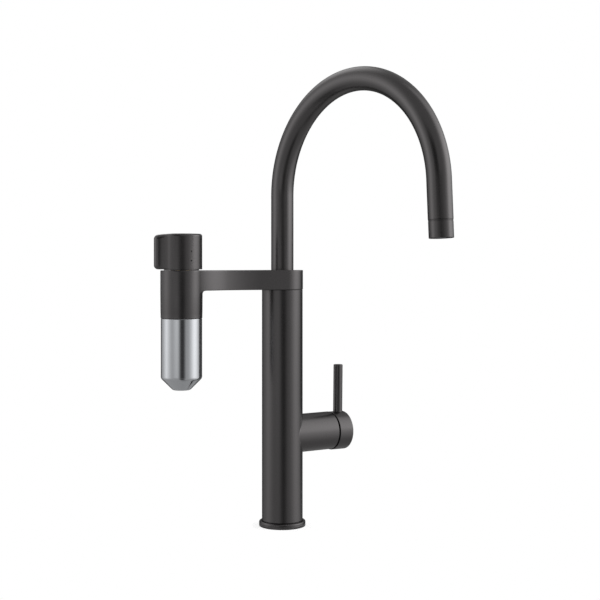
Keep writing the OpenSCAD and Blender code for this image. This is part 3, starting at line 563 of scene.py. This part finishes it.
def make_outlet(s):
    """Outlet sleeve: a turned ring at the end of the spout, with a double groove at its seam."""
    bore, seat_r, groove_r = SPOUT_R - s.spout_wall, SPOUT_R - 0.0009, SPOUT_R - 0.0002
    top, tilt, turn = s.sleeve, s.arch_sweep - pi, s.spout_turn - pi / 2
    end = spout_path(s)[0][-1]
    shell = Shell()
    shell.grid(turned(rounded([
        (bore, 0.0012, 0), (seat_r, 0.0012, 0), (seat_r, 0, 0), (SPOUT_R, 0, 0.0005),
        (SPOUT_R, top - 0.0015, 0.0001), (groove_r, top - 0.0013, 0), (groove_r, top - 0.001, 0),
        (SPOUT_R, top - 0.0008, 0.0001), (SPOUT_R, top - 0.0003, 0.0001),
        (SPOUT_R - 0.0003, top - 0.00005, 0), (bore, top - 0.00005, 0),
    ]), 128), wrap_rows=True)

    def place(p):
        """The sleeve's own axis laid along the end of the centre line."""
        return turned_about_z(turned_about_y(p - (0, 0, top), tilt) + end, turn)

    shell.build("outlet_sleeve_ring", "spout", ["aerator_sleeve"], "black_finish", place=place)


def make_arm(s):
    """Filter arm in the frame of the filter's axis. With H and E for the radii of holder and eye, L for
    their distance, and w and h for the waist's place and half width, its flank has a first arc from the
    holder to the waist, r = (w^2 / (H - h) - H - h) / 2, a second one to the slope b,
    r = (sin b (L - w) + cos b h - E) / (1 - cos b), and a line to the eye. The wall's foot is at the
    arm's underside, but beside the holder it rises along the fillet, which runs round the holder:
    z = underside - f + sqrt(f^2 - (H + f - distance)^2)."""
    shell = Shell()
    length, f, e = -FILTER_X, s.fillet, s.arm_edge
    holder_r = HOLDER_R + s.swell
    half, c, n = s.waist / 2, cos(s.slope), sin(s.slope)
    first_r = (s.waist_at ** 2 / (holder_r - half) - holder_r - half) / 2
    second_r = (n * (length - s.waist_at) + c * half - EYE_R) / (1 - c)
    a0, away = atan2(-half - first_r, -s.waist_at), holder_r + first_r
    bite = a0 + acos((away ** 2 + first_r ** 2 - (holder_r + f) ** 2) / (2 * first_r * away))
    around, bite_steps, eye_steps, fade = 100, 8, 80, 0.003
    first = hollow((s.waist_at, half + first_r), first_r, np.concatenate((
        np.linspace(a0, bite, bite_steps + 1), np.linspace(bite, -pi / 2, 31)[1:])))
    second = hollow((s.waist_at, half + second_r), second_r,
                    np.linspace(-pi / 2, s.slope - pi / 2, 31)[1:])
    line = np.linspace(second[0][-1], (length - EYE_R * n, EYE_R * c), 9)[1:]
    flank = np.concatenate((first[0], second[0], line))
    leaning = np.concatenate((first[1], second[1], np.repeat(second[1][-1:], len(line), axis=0)))
    outline, normal = link_outline(length, holder_r, EYE_R, flank, leaning, around, eye_steps)
    count = len(outline)
    start = around + bite_steps
    distance = np.hypot(*outline.T)
    foot = COLUMN_TOP - f + np.sqrt(f * f - np.clip(holder_r + f - distance, 0, f) ** 2)
    ease = np.clip((distance - holder_r - f) / fade, 0, 1)
    wall = rounded_wall(outline, normal, (foot, ARM_TOP), (e * ease, e), (GUARD * ease, GUARD), 6, 19)

    # Hole of the lock screw, at the back of the eye; row 10 is in the wall's straight part
    eye = np.array((length, 0, 0))
    from_eye = wall - eye
    screw_z = (low("arm_lock_screw").z + high("arm_lock_screw").z) / 2
    half_angle, half_height, depth = 0.19, 0.0034, 0.003
    i = around + len(flank) + eye_steps // 2
    x, y, _ = from_eye[10].T
    turns = turn_from(pi / 2, np.arctan2(y, x))
    block = block_of(np.abs(wall[:, i, 2] - screw_z) <= half_height,
                     (np.abs(turns) <= half_angle) & (np.arange(count) >= around + len(flank)))
    shell.grid(wall, blocks=[block])
    shell.drill(from_eye[rim_of(block)], EYE_R, pi / 2, screw_z, SCREW_HOLE_R, EYE_R - depth, at=eye)

    # Fillet round the holder between the flanks
    near = np.arctan2(outline[around:start + 1, 1], outline[around:start + 1, 0])
    inner = np.linspace(near[-1], -near[-1], 41)
    angles = np.concatenate((near, inner[1:-1], -near[::-1]))
    side = distance[around:start + 1]
    reach = np.concatenate((side, 0 * inner[1:-1] + holder_r + f, side[::-1]))
    last = np.arccos(np.clip(1 - (reach - holder_r) / f, -1, 1))
    b = last * np.linspace(0, 1, 9)[:, None]
    r = holder_r + f * (1 - np.cos(b))
    shell.grid(round_axis(r, angles, COLUMN_TOP - f + f * np.sin(b)), wrap_columns=False)

    # Holder: its outside from the fillet down, the rim, the bore and the seat of the valve
    free = np.arctan2(outline[:around, 1], outline[:around, 0])
    ring = np.concatenate((free, angles, -free[:0:-1]))
    valve_hole = high("filter_valve_body").y + 0.0001
    rim, seat = HOLDER_RIM + s.seam_rise, ARM_TOP - 0.004
    holder = turned(rounded([
        (holder_r, COLUMN_TOP - f, 0), (holder_r - 0.00015, rim + 0.0052, 0),
        (holder_r - 0.0002, rim + 0.0049, 0), (holder_r - 0.00025, rim, 0.0004),
        (s.holder_bore, rim, 0.0002), (s.holder_bore, seat, 0), (valve_hole, seat, 0),
        (valve_hole, ARM_TOP, 0),
    ]), ring)
    shell.grid(holder)

    # Eye: lip round the spout and bore round the swivel
    lip_r, lip_foot, eye_bore = SPOUT_R + 0.00035, ARM_TOP - 0.0025, 0.0152
    bore = turned(rounded([
        (lip_r + 0.0006, ARM_TOP, 0), (lip_r, ARM_TOP, 0.0003), (lip_r, lip_foot, 0),
        (eye_bore, lip_foot, 0), (eye_bore, COLUMN_TOP, 0),
    ]), 96) + eye
    shell.grid(bore)
    shell.flat(wall[-1], holder[-1], bore[0])
    arc = round_axis(holder_r + f, inner, COLUMN_TOP)
    shell.flat(np.concatenate((wall[0, start:count - start + 1], arc[-2:0:-1])), bore[-1])
    shell.build("filter_arm_body", "root", ["filter_arm"], "black_finish", place=at_filter)


def make_cup(s):
    """Steel cup: a turned wall of even thickness with a 45 degree cone at its foot."""
    shift = s.cup_wall * tan(radians(22.5))
    foot, cup_r = CUP_FOOT - s.cup_drop, CUP_R + s.swell
    shell = Shell()
    shell.grid(turned(rounded([
        (0, foot, 0), (cup_r - s.cup_cone, foot, s.cup_round),
        (cup_r, foot + s.cup_cone, s.cup_round), (cup_r, CUP_RIM + s.seam_rise, 0.0004),
        (cup_r - s.cup_wall, CUP_RIM + s.seam_rise, 0.0003),
        (cup_r - s.cup_wall, foot + s.cup_cone + shift, s.cup_round - 0.001),
        (cup_r - s.cup_cone - shift, foot + s.cup_wall, s.cup_round - 0.001),
        (0, foot + s.cup_wall, 0),
    ], steps=10)))
    shell.build("steel_cup_wall", "cup", ["steel_cup"], "steel_cup", place=at_filter)


def make_knob(s):
    """Filter knob: a rounded wall over the outline of the round body and its thumb lobe. The hollow
    between them touches both circles: with a and b from its centre to theirs, L apart, that centre is
    at x = (a^2 - b^2 + L^2) / 2 L. Both roundings grow from the body towards the lobe's tip, where the
    top also falls, by the smooth step 3 t^2 - 2 t^3."""
    shell = Shell()
    length = s.lobe_reach - s.lobe_tip
    to_body, to_tip = KNOB_R + s.lobe_flank, s.lobe_tip + s.lobe_flank
    cx = (to_body ** 2 - to_tip ** 2 + length ** 2) / (2 * length)
    cy = sqrt(to_body ** 2 - cx ** 2)
    turns = np.linspace(atan2(-cy, -cx), atan2(-cy, length - cx), 17)
    flank = hollow((cx, cy), s.lobe_flank, turns)
    outline, normal = link_outline(length, KNOB_R, s.lobe_tip, *flank, 130, 18)
    root = KNOB_R * 0.7
    along = np.clip((outline[:, 0] - root) / (s.lobe_reach - root), 0, 1)
    c, n = cos(s.lobe_angle), sin(s.lobe_angle)
    spin = np.array(((c, n), (-n, c)))
    outline, normal = outline @ spin, normal @ spin
    distance = np.hypot(*outline.T)
    grow = along * along * (3 - 2 * along)
    foot_round = 0.0003
    e = foot_round + (s.lobe_round - foot_round) * grow
    top = s.knob_round + (s.lobe_round - s.knob_round) * grow
    roof = KNOB_TOP - s.lobe_fall * grow
    steps = 8

    def ring(r, z):
        return np.column_stack((outline / distance[:, None] * r, z + 0 * distance))

    neck = high("filter_valve_body").z + 0.0008
    neck_r, socket_r, socket, crown_r = 0.0083, 0.0112, KNOB_Z + 0.002, 0.012
    rows = [ring(0, neck), ring(neck_r, neck), ring(neck_r, socket), ring(socket_r, socket),
            ring(socket_r, KNOB_FOOT), ring(s.knob_foot, KNOB_FOOT), ring(s.knob_foot, KNOB_Z)]
    inside = len(rows) + 1 + steps
    rows += [*rounded_wall(outline, normal, (KNOB_Z, roof), (e, top), (GUARD, GUARD), steps, 53)]
    rows += [ring(crown_r, KNOB_TOP), ring(0, KNOB_TOP)]
    wall = np.stack(rows)
    body = distance < KNOB_R + 1e-6
    angles = np.where(body, np.arctan2(outline[:, 1], outline[:, 0]), 99)
    back = np.argmin(np.abs(angles - pi / 2))
    heights = np.where(np.arange(len(rows)) < inside, -1, wall[:, back, 2])

    # The screw's hole at the back and two pits in front: angle, height, radius, half angle and half
    # height of the block, floor's distance from the axis and depth of the drill's point
    screw_z = (low("knob_screw").z + high("knob_screw").z) / 2
    holes = [(pi / 2, screw_z, SCREW_HOLE_R, 0.13, 0.0026, 0.0125, 0)]
    holes += [(-pi / 2, KNOB_Z + rise, 0.0007, 0.07, 0.00125, KNOB_R - 0.0012, 0.0006)
              for rise in (0.0081, 0.0169)]
    blocks = []
    for angle, z, r, half_angle, half_height, floor, point in holes:
        block = block_of(np.abs(heights - z) <= half_height,
                         body & (np.abs(turn_from(angle, angles)) <= half_angle))
        blocks.append(block)
        shell.drill(wall[rim_of(block)], KNOB_R, angle, z, r, floor, point)
    shell.grid(wall, blocks=blocks)
    shell.build("filter_knob_body", "knob", ["filter_knob"], "black_finish", place=at_filter)


def make_lever(s):
    """Lever cap and pin. The cap is turned about the branch's axis, hollow towards the branch, with a
    round hole for the pin above and one for the grub screw below; the pin is turned about its own.
    Both lean outwards, turned about the line of the pivot pin."""
    pivot = np.array((low("lever_pivot_pin") + high("lever_pivot_pin")) / 2)
    cap_r, pin_x = BRANCH_R + s.cap_extra, PIN_X - s.pin_back
    inner_r, stem_r = cap_r - s.cap_wall, 0.00285
    rim, hollow_end, stem_end = CAP_X + 0.0002, CAP_X + 0.006, pin_x - 0.0025

    def leaned(points):
        return turned_about_y(points - pivot, s.lean) + pivot

    side = np.linspace(CAP_X + 0.0042, pin_x + s.pin_r + 0.0001, 15)
    front = rounded([(0, CAP_END, 0), (cap_r, CAP_END, 0.0008), (cap_r, side[-1] - 0.00001, 0)])[:-1]
    back = rounded([
        (cap_r, side[0], 0), (cap_r, rim, 0.0004), (inner_r, rim, 0.0002),
        (inner_r, CAP_X + 0.002, 0), (inner_r - 0.005, hollow_end, 0), (stem_r, hollow_end, 0),
        (stem_r, stem_end, 0), (0, stem_end, 0),
    ])
    outline = np.concatenate((front, np.stack((0 * side + cap_r, side[::-1]), axis=-1), back[1:]))
    angles = np.linspace(-pi / 2, 3 * pi / 2, 192, endpoint=False)
    wall = turned(outline, angles)
    heights = np.where(np.abs(outline[:, 0] - cap_r) < 1e-7, outline[:, 1], -1)
    shell = Shell()

    # Holes of the pin and the grub screw: angle, place, radius, half angle and ends of the block, floor
    grub_x = (low("lever_grub_screw").x + high("lever_grub_screw").x) / 2
    blocks = []
    for angle, x, r, half_angle, first, last, floor in (
            (pi, pin_x, s.pin_r + 0.00005, 0.33, side[0], side[-1], PIN_FOOT - BRANCH_Z - 0.0001),
            (0, grub_x, 0.00255, 0.2, side[2], side[12], 0.0115)):
        block = block_of((heights >= first - 1e-7) & (heights <= last + 1e-7),
                         np.abs(turn_from(angle, angles)) <= half_angle)
        blocks.append(block)
        shell.drill(wall[rim_of(block)], cap_r, angle, x, r, floor, steps=4)
    shell.grid(wall, blocks=blocks)
    shell.build("lever_cap_body", "lever", ["lever_cap"], "black_finish",
                place=lambda p: leaned(on_branch(p) - (0, 0, s.cap_drop)))

    pin = Shell()
    pin.grid(turned(rounded([
        (0, PIN_FOOT, 0), (s.pin_r, PIN_FOOT, 0.0002), (s.pin_r, PIN_TOP, 0.0006), (0, PIN_TOP, 0),
    ]), 96) + np.array((pin_x, 0, 0)))
    pin.build("lever_pin_rod", "lever", ["lever_pin"], "black_finish", place=leaned)


# Finishes


def feed(tree, socket, value):
    """Gives a socket a number, a colour or another node's output."""
    if isinstance(value, bpy.types.NodeSocket):
        tree.links.new(value, socket)
    else:
        socket.default_value = value


def add(tree, kind, **settings):
    """A node with its settings; a setting named by a socket, with _ for a blank, feeds that input."""
    made = tree.nodes.new(kind)
    for key, value in settings.items():
        if hasattr(made, key):
            setattr(made, key, value)
        else:
            feed(tree, made.inputs[key.replace("_", " ")], value)
    return made


def worked(tree, operation, *values):
    """Result of a Math node on numbers or other nodes' outputs."""
    made = add(tree, "ShaderNodeMath", operation=operation)
    for socket, value in zip(made.inputs, values):
        feed(tree, socket, value)
    return made.outputs[0]


def emptied(owner):
    """The node tree of a material or world, without its nodes."""
    owner.use_nodes = True
    owner.node_tree.nodes.clear()
    return owner.node_tree


def group(name, inputs, outputs):
    """An empty node group with the named sockets, what it is given and what it puts out."""
    tree = bpy.data.node_groups.new(name, "ShaderNodeTree")
    for key, kind, value in inputs:
        socket = tree.interface.new_socket(key, in_out="INPUT", socket_type="NodeSocket" + kind)
        if value is not None:
            socket.default_value = value
    for key, kind in outputs:
        tree.interface.new_socket(key, in_out="OUTPUT", socket_type="NodeSocket" + kind)
    return tree, tree.nodes.new("NodeGroupInput").outputs, tree.nodes.new("NodeGroupOutput").inputs


def make_surface_group():
    """Surface grain: fine noise for the bump, and the fine noise with a slow cloud, centred on zero, for
    roughness and tone."""
    tree, given, out = group(
        "surface_grain",
        [("Vector", "Vector", None), ("Scale", "Float", 2500.0), ("Roughness", "Float", 0.3),
         ("Spread", "Float", 0.05), ("Tone", "Float", 0.05), ("Color", "Color", None)],
        [("Color", "Color"), ("Roughness", "Float"), ("Height", "Float")])
    fine = add(tree, "ShaderNodeTexNoise", Vector=given["Vector"], Scale=given["Scale"], Detail=3.0,
               Roughness=0.6).outputs["Fac"]
    cloud = add(tree, "ShaderNodeTexNoise", Vector=given["Vector"], Scale=60.0, Detail=4.0)
    both = worked(tree, "ADD", fine, cloud.outputs["Fac"])
    centred = worked(tree, "SUBTRACT", both, 1.0)
    rough = worked(tree, "MULTIPLY_ADD", centred, given["Spread"], given["Roughness"])
    tone = worked(tree, "MULTIPLY_ADD", centred, given["Tone"], 1.0)
    tinted = add(tree, "ShaderNodeVectorMath", operation="SCALE", Vector=given["Color"], Scale=tone)
    for key, value in (("Roughness", rough), ("Color", tinted.outputs[0]), ("Height", fine)):
        tree.links.new(value, out[key])


def finish(name, colour, stretch, scale, roughness, spread, tone, bump, **surface):
    """A material: the surface grain on Object coordinates, drawn out by the stretch, feeds colour,
    roughness and bump; what is even all over is set on the shader. Its name has "tap_" before the
    slot's, which the frame's own materials have taken already."""
    tree = emptied(bpy.data.materials.new("tap_" + name))
    where = add(tree, "ShaderNodeTexCoord").outputs["Object"]
    mapping = add(tree, "ShaderNodeMapping", Vector=where, Scale=stretch)
    grain = add(tree, "ShaderNodeGroup", node_tree=bpy.data.node_groups["surface_grain"],
                Vector=mapping.outputs["Vector"], Scale=scale, Roughness=roughness, Spread=spread,
                Tone=tone, Color=(*colour, 1.0)).outputs
    bumped = add(tree, "ShaderNodeBump", Strength=1.0, Distance=bump, Height=grain["Height"])
    shader = add(tree, "ShaderNodeBsdfPrincipled", Base_Color=grain["Color"],
                 Roughness=grain["Roughness"], Normal=bumped.outputs["Normal"], **surface)
    add(tree, "ShaderNodeOutputMaterial", Surface=shader.outputs[0])


def make_finishes(c):
    """One material for each finish of the record."""
    make_surface_group()
    even, rings, along = (1, 1, 1), (0.04, 0.04, 1), (1, 1, 0.05)
    finish("black_finish", c.black, even, 2600, 0.28, 0.04, 0.06, 1e-6, Metallic=1.0)
    finish("steel_cup", c.steel, rings, 2200, 0.14, 0.04, 0.04, 5e-7, Metallic=1.0)
    finish("steel_parts", c.steel, even, 1800, 0.28, 0.08, 0.05, 2e-6, Metallic=1.0)
    finish("brass", c.brass, rings, 1800, 0.3, 0.12, 0.1, 3e-6, Metallic=1.0)
    finish("copper_tube", c.copper, along, 1500, 0.32, 0.12, 0.15, 3e-6, Metallic=1.0)
    finish("ceramic", c.ceramic, even, 1500, 0.22, 0.05, 0.03, 1e-6, Coat_Weight=0.2)
    finish("rubber", c.rubber, even, 1400, 0.6, 0.12, 0.2, 8e-6)
    finish("white_plastic", c.white_plastic, even, 1600, 0.42, 0.08, 0.03, 4e-6)
    finish("grey_plastic", c.grey_plastic, even, 1600, 0.46, 0.1, 0.06, 6e-6)
    finish("carbon", c.carbon, even, 900, 0.85, 0.1, 0.6, 6e-5)
    finish("membrane", c.membrane, along, 1200, 0.7, 0.1, 0.1, 4e-5)


def dress_nodes():
    """Gives every CAD node that stays in view its finish, by the slot that the record names."""
    for part in frame["record"]["subparts"]:
        for holder in frame["nodes"][part["node"]].material_slots:
            holder.material = bpy.data.materials["tap_" + part["material_slot"]]


# Studio

WHITE = (1, 1, 1, 1)


def stage_piece(name, points, faces, material, glow=None):
    """A mesh of the studio, which isn't part of the tap; glow is the brightness at its points."""
    mesh = bpy.data.meshes.new(name)
    mesh.from_pydata(points.reshape(-1, 3), [], np.asarray(faces).tolist())
    if glow is not None:
        mesh.attributes.new("glow", "FLOAT", "POINT").data.foreach_set("value", glow.ravel())
    mesh.materials.append(material)
    made = put(name, mesh)
    return made


# Soft panels and dark flags round the tap, in degrees: azimuth to the right of the camera as the
# photograph shows it, half width, elevation, half height, level and softness of the edges. A positive
# level adds light to the studio's own grey, and a negative one is the share that a flag takes away.
PANELS = np.array((
    (99, 32, 8, 23, 1.63, 32),
    (-85, 13, 12, 24, 1.28, 32),
    (-23, 14, 6, 3.2, 1.19, 19),
    (-146, 28, 47, 17, 1.05, 13),
    (95, 26, 55, 51, 0.68, 4),
    (8, 15, -24, 32, -0.91, 10),
    (134, 11, -6, 11, -0.88, 5),
    (43, 57, -91, 17, -0.84, 14),
    (151, 54, -4, 11, -0.82, 27),
    (-19, 18, 19, 15.5, -0.94, 3.3),
    (-145, 9, -5, 21, -0.8, 5.6),
    (180, 34, 0, 35, -0.6, 8),
    (8, 14, -21, 10, 0.08, 6),
))


def panel_mask(away, half, soft):
    """1 inside a panel and 0 outside, with a smooth step over its soft edge."""
    t = np.clip((np.abs(away) - half + soft) / (2 * soft), 0, 1)
    return 1 - t * t * (3 - 2 * t)


def make_surround(s):
    """Dome round the tap, with the brightness of grey, panels and flags at each of its points."""
    azimuth = np.arange(-180, 180, 3)
    elevation = np.linspace(-90, 90, 61)
    e = np.radians(elevation)
    outline = (0, s.surround_z) + s.surround_r * direction(e)
    points = turned(outline, pi * 1.5 - s.heading + np.radians(azimuth))
    a, e = np.meshgrid(azimuth, elevation)
    over, level, below = s.grey
    glow = level + np.where(e > 0, over - level, level - below) * e / 90
    for at, half, height, half_height, strength, soft in PANELS:
        mask = (panel_mask((a - at + 180) % 360 - 180, half, soft)
                * panel_mask(e - height, half_height, soft))
        glow = glow + strength * mask if strength > 0 else glow * (1 + strength * mask)
    faces = quads(*points.shape[:2])[..., (0, 3, 2, 1)].reshape(-1, 4)
    material = bpy.data.materials.new("studio_surround")
    tree = emptied(material)
    glowing = add(tree, "ShaderNodeAttribute", attribute_name="glow").outputs["Fac"]
    light = add(tree, "ShaderNodeEmission", Color=WHITE, Strength=glowing)
    add(tree, "ShaderNodeOutputMaterial", Surface=light.outputs[0])
    made = stage_piece("studio_surround", points, faces, material, glow)
    made.visible_camera = False


def make_floor(s):
    """Round pale floor: it shows white, less what the tap's shadow takes."""
    t = np.linspace(0, 2 * pi, 96, endpoint=False)
    grey, lift, just_below = 0.85, 0.6, -0.00002
    material = bpy.data.materials.new("studio_floor")
    tree = emptied(material)
    pale = add(tree, "ShaderNodeBsdfDiffuse", Color=(grey, grey, grey, 1))
    seen = add(tree, "ShaderNodeLightPath").outputs["Is Camera Ray"]
    glow = add(tree, "ShaderNodeEmission", Color=WHITE, Strength=worked(tree, "MULTIPLY", seen, lift))
    both = add(tree, "ShaderNodeAddShader")
    for socket, shader in zip(both.inputs, (pale, glow)):
        feed(tree, socket, shader.outputs[0])
    add(tree, "ShaderNodeOutputMaterial", Surface=both.outputs[0])
    stage_piece("studio_floor", round_axis(s.floor_r, t, just_below), [list(range(len(t)))], material)


def make_world():
    """White behind the tap for rays from the camera, off gloss and through glass, and a plain light
    for the rays that gather light."""
    world = bpy.data.worlds.new("studio_world")
    bpy.context.scene.world = world
    tree = emptied(world)
    path = add(tree, "ShaderNodeLightPath").outputs
    seen = worked(tree, "MAXIMUM", path["Is Camera Ray"], path["Is Glossy Ray"])
    seen = worked(tree, "MAXIMUM", seen, path["Is Transmission Ray"])
    level = add(tree, "ShaderNodeMapRange", To_Min=0.8, To_Max=1.0, Value=seen).outputs[0]
    back = add(tree, "ShaderNodeBackground", Color=WHITE, Strength=level)
    add(tree, "ShaderNodeOutputWorld", Surface=back.outputs[0])


def make_camera(s):
    """Level camera at the photograph's place."""
    data = bpy.data.cameras.new("studio_camera")
    data.lens = s.lens
    data.sensor_width = 36
    data.shift_x = s.aside
    data.shift_y = s.shift
    camera = put("studio_camera", data)
    camera.location = s.camera_place
    camera.rotation_euler = (pi / 2, 0, -s.heading)
    bpy.context.scene.camera = camera


class TAP_OT_finishes(bpy.types.Operator):
    """Makes the finishes and dresses the CAD nodes that stay in view"""

    bl_idname = "tap.finishes"
    bl_label = "Finishes and inner pieces"

    def execute(self, context):
        make_finishes(context.scene.tap_finishes)
        dress_nodes()
        return {"FINISHED"}


class TAP_OT_base(bpy.types.Operator):
    """Adds the base ring"""

    bl_idname = "tap.base"
    bl_label = "Base ring"

    def execute(self, context):
        make_base(context.scene.tap_sizes)
        return {"FINISHED"}


class TAP_OT_column(bpy.types.Operator):
    """Adds the column with its side branch"""

    bl_idname = "tap.column"
    bl_label = "Column and branch"

    def execute(self, context):
        make_column(context.scene.tap_sizes)
        return {"FINISHED"}


class TAP_OT_spout(bpy.types.Operator):
    """Adds the spout tube and the outlet sleeve"""

    bl_idname = "tap.spout"
    bl_label = "Spout and outlet"

    def execute(self, context):
        make_spout(context.scene.tap_sizes)
        make_outlet(context.scene.tap_sizes)
        return {"FINISHED"}


class TAP_OT_arm(bpy.types.Operator):
    """Adds the filter arm with its holder"""

    bl_idname = "tap.arm"
    bl_label = "Filter arm"

    def execute(self, context):
        make_arm(context.scene.tap_sizes)
        return {"FINISHED"}


class TAP_OT_cup(bpy.types.Operator):
    """Adds the steel cup"""

    bl_idname = "tap.cup"
    bl_label = "Steel cup"

    def execute(self, context):
        make_cup(context.scene.tap_sizes)
        return {"FINISHED"}


class TAP_OT_knob(bpy.types.Operator):
    """Adds the filter knob"""

    bl_idname = "tap.knob"
    bl_label = "Filter knob"

    def execute(self, context):
        make_knob(context.scene.tap_sizes)
        return {"FINISHED"}


class TAP_OT_lever(bpy.types.Operator):
    """Adds the lever cap and its pin"""

    bl_idname = "tap.lever"
    bl_label = "Lever"

    def execute(self, context):
        make_lever(context.scene.tap_sizes)
        return {"FINISHED"}


class TAP_OT_stage(bpy.types.Operator):
    """Sets up the floor, the dome of light, the world and the camera"""

    bl_idname = "tap.stage"
    bl_label = "Studio"

    def execute(self, context):
        studio = context.scene.tap_studio
        make_floor(studio)
        make_surround(studio)
        make_world()
        make_camera(studio)
        context.scene.view_settings.view_transform = "Standard"
        return {"FINISHED"}


OPERATORS = (TAP_OT_finishes, TAP_OT_base, TAP_OT_column, TAP_OT_spout, TAP_OT_arm, TAP_OT_cup,
             TAP_OT_knob, TAP_OT_lever, TAP_OT_stage)


class TAP_PT_panel(bpy.types.Panel):
    """Lists the tap's operators in the sidebar"""

    bl_idname = "TAP_PT_panel"
    bl_label = "Mixer tap"
    bl_space_type = "VIEW_3D"
    bl_region_type = "UI"
    bl_category = "Mixer tap"

    def draw(self, context):
        for made in OPERATORS:
            self.layout.operator(made.bl_idname)


GROUPS = {"tap_sizes": TapSizes, "tap_finishes": TapFinishes, "tap_studio": TapStudio}
CLASSES = (*GROUPS.values(), *OPERATORS, TAP_PT_panel)


def register():
    """Registers the classes and hangs the settings on the scene."""
    for made in CLASSES:
        bpy.utils.register_class(made)
    for name, kind in GROUPS.items():
        setattr(bpy.types.Scene, name, PointerProperty(type=kind))


def unregister():
    """Takes the settings and classes away again."""
    for name in GROUPS:
        delattr(bpy.types.Scene, name)
    for made in CLASSES[::-1]:
        bpy.utils.unregister_class(made)


def main():
    """Builds the finishes, the pieces and the studio."""
    register()
    bpy.ops.tap.finishes()
    bpy.ops.tap.base()
    bpy.ops.tap.column()
    bpy.ops.tap.spout()
    bpy.ops.tap.arm()
    bpy.ops.tap.cup()
    bpy.ops.tap.knob()
    bpy.ops.tap.lever()
    bpy.ops.tap.stage()


if __name__ == "__main__":
    main()
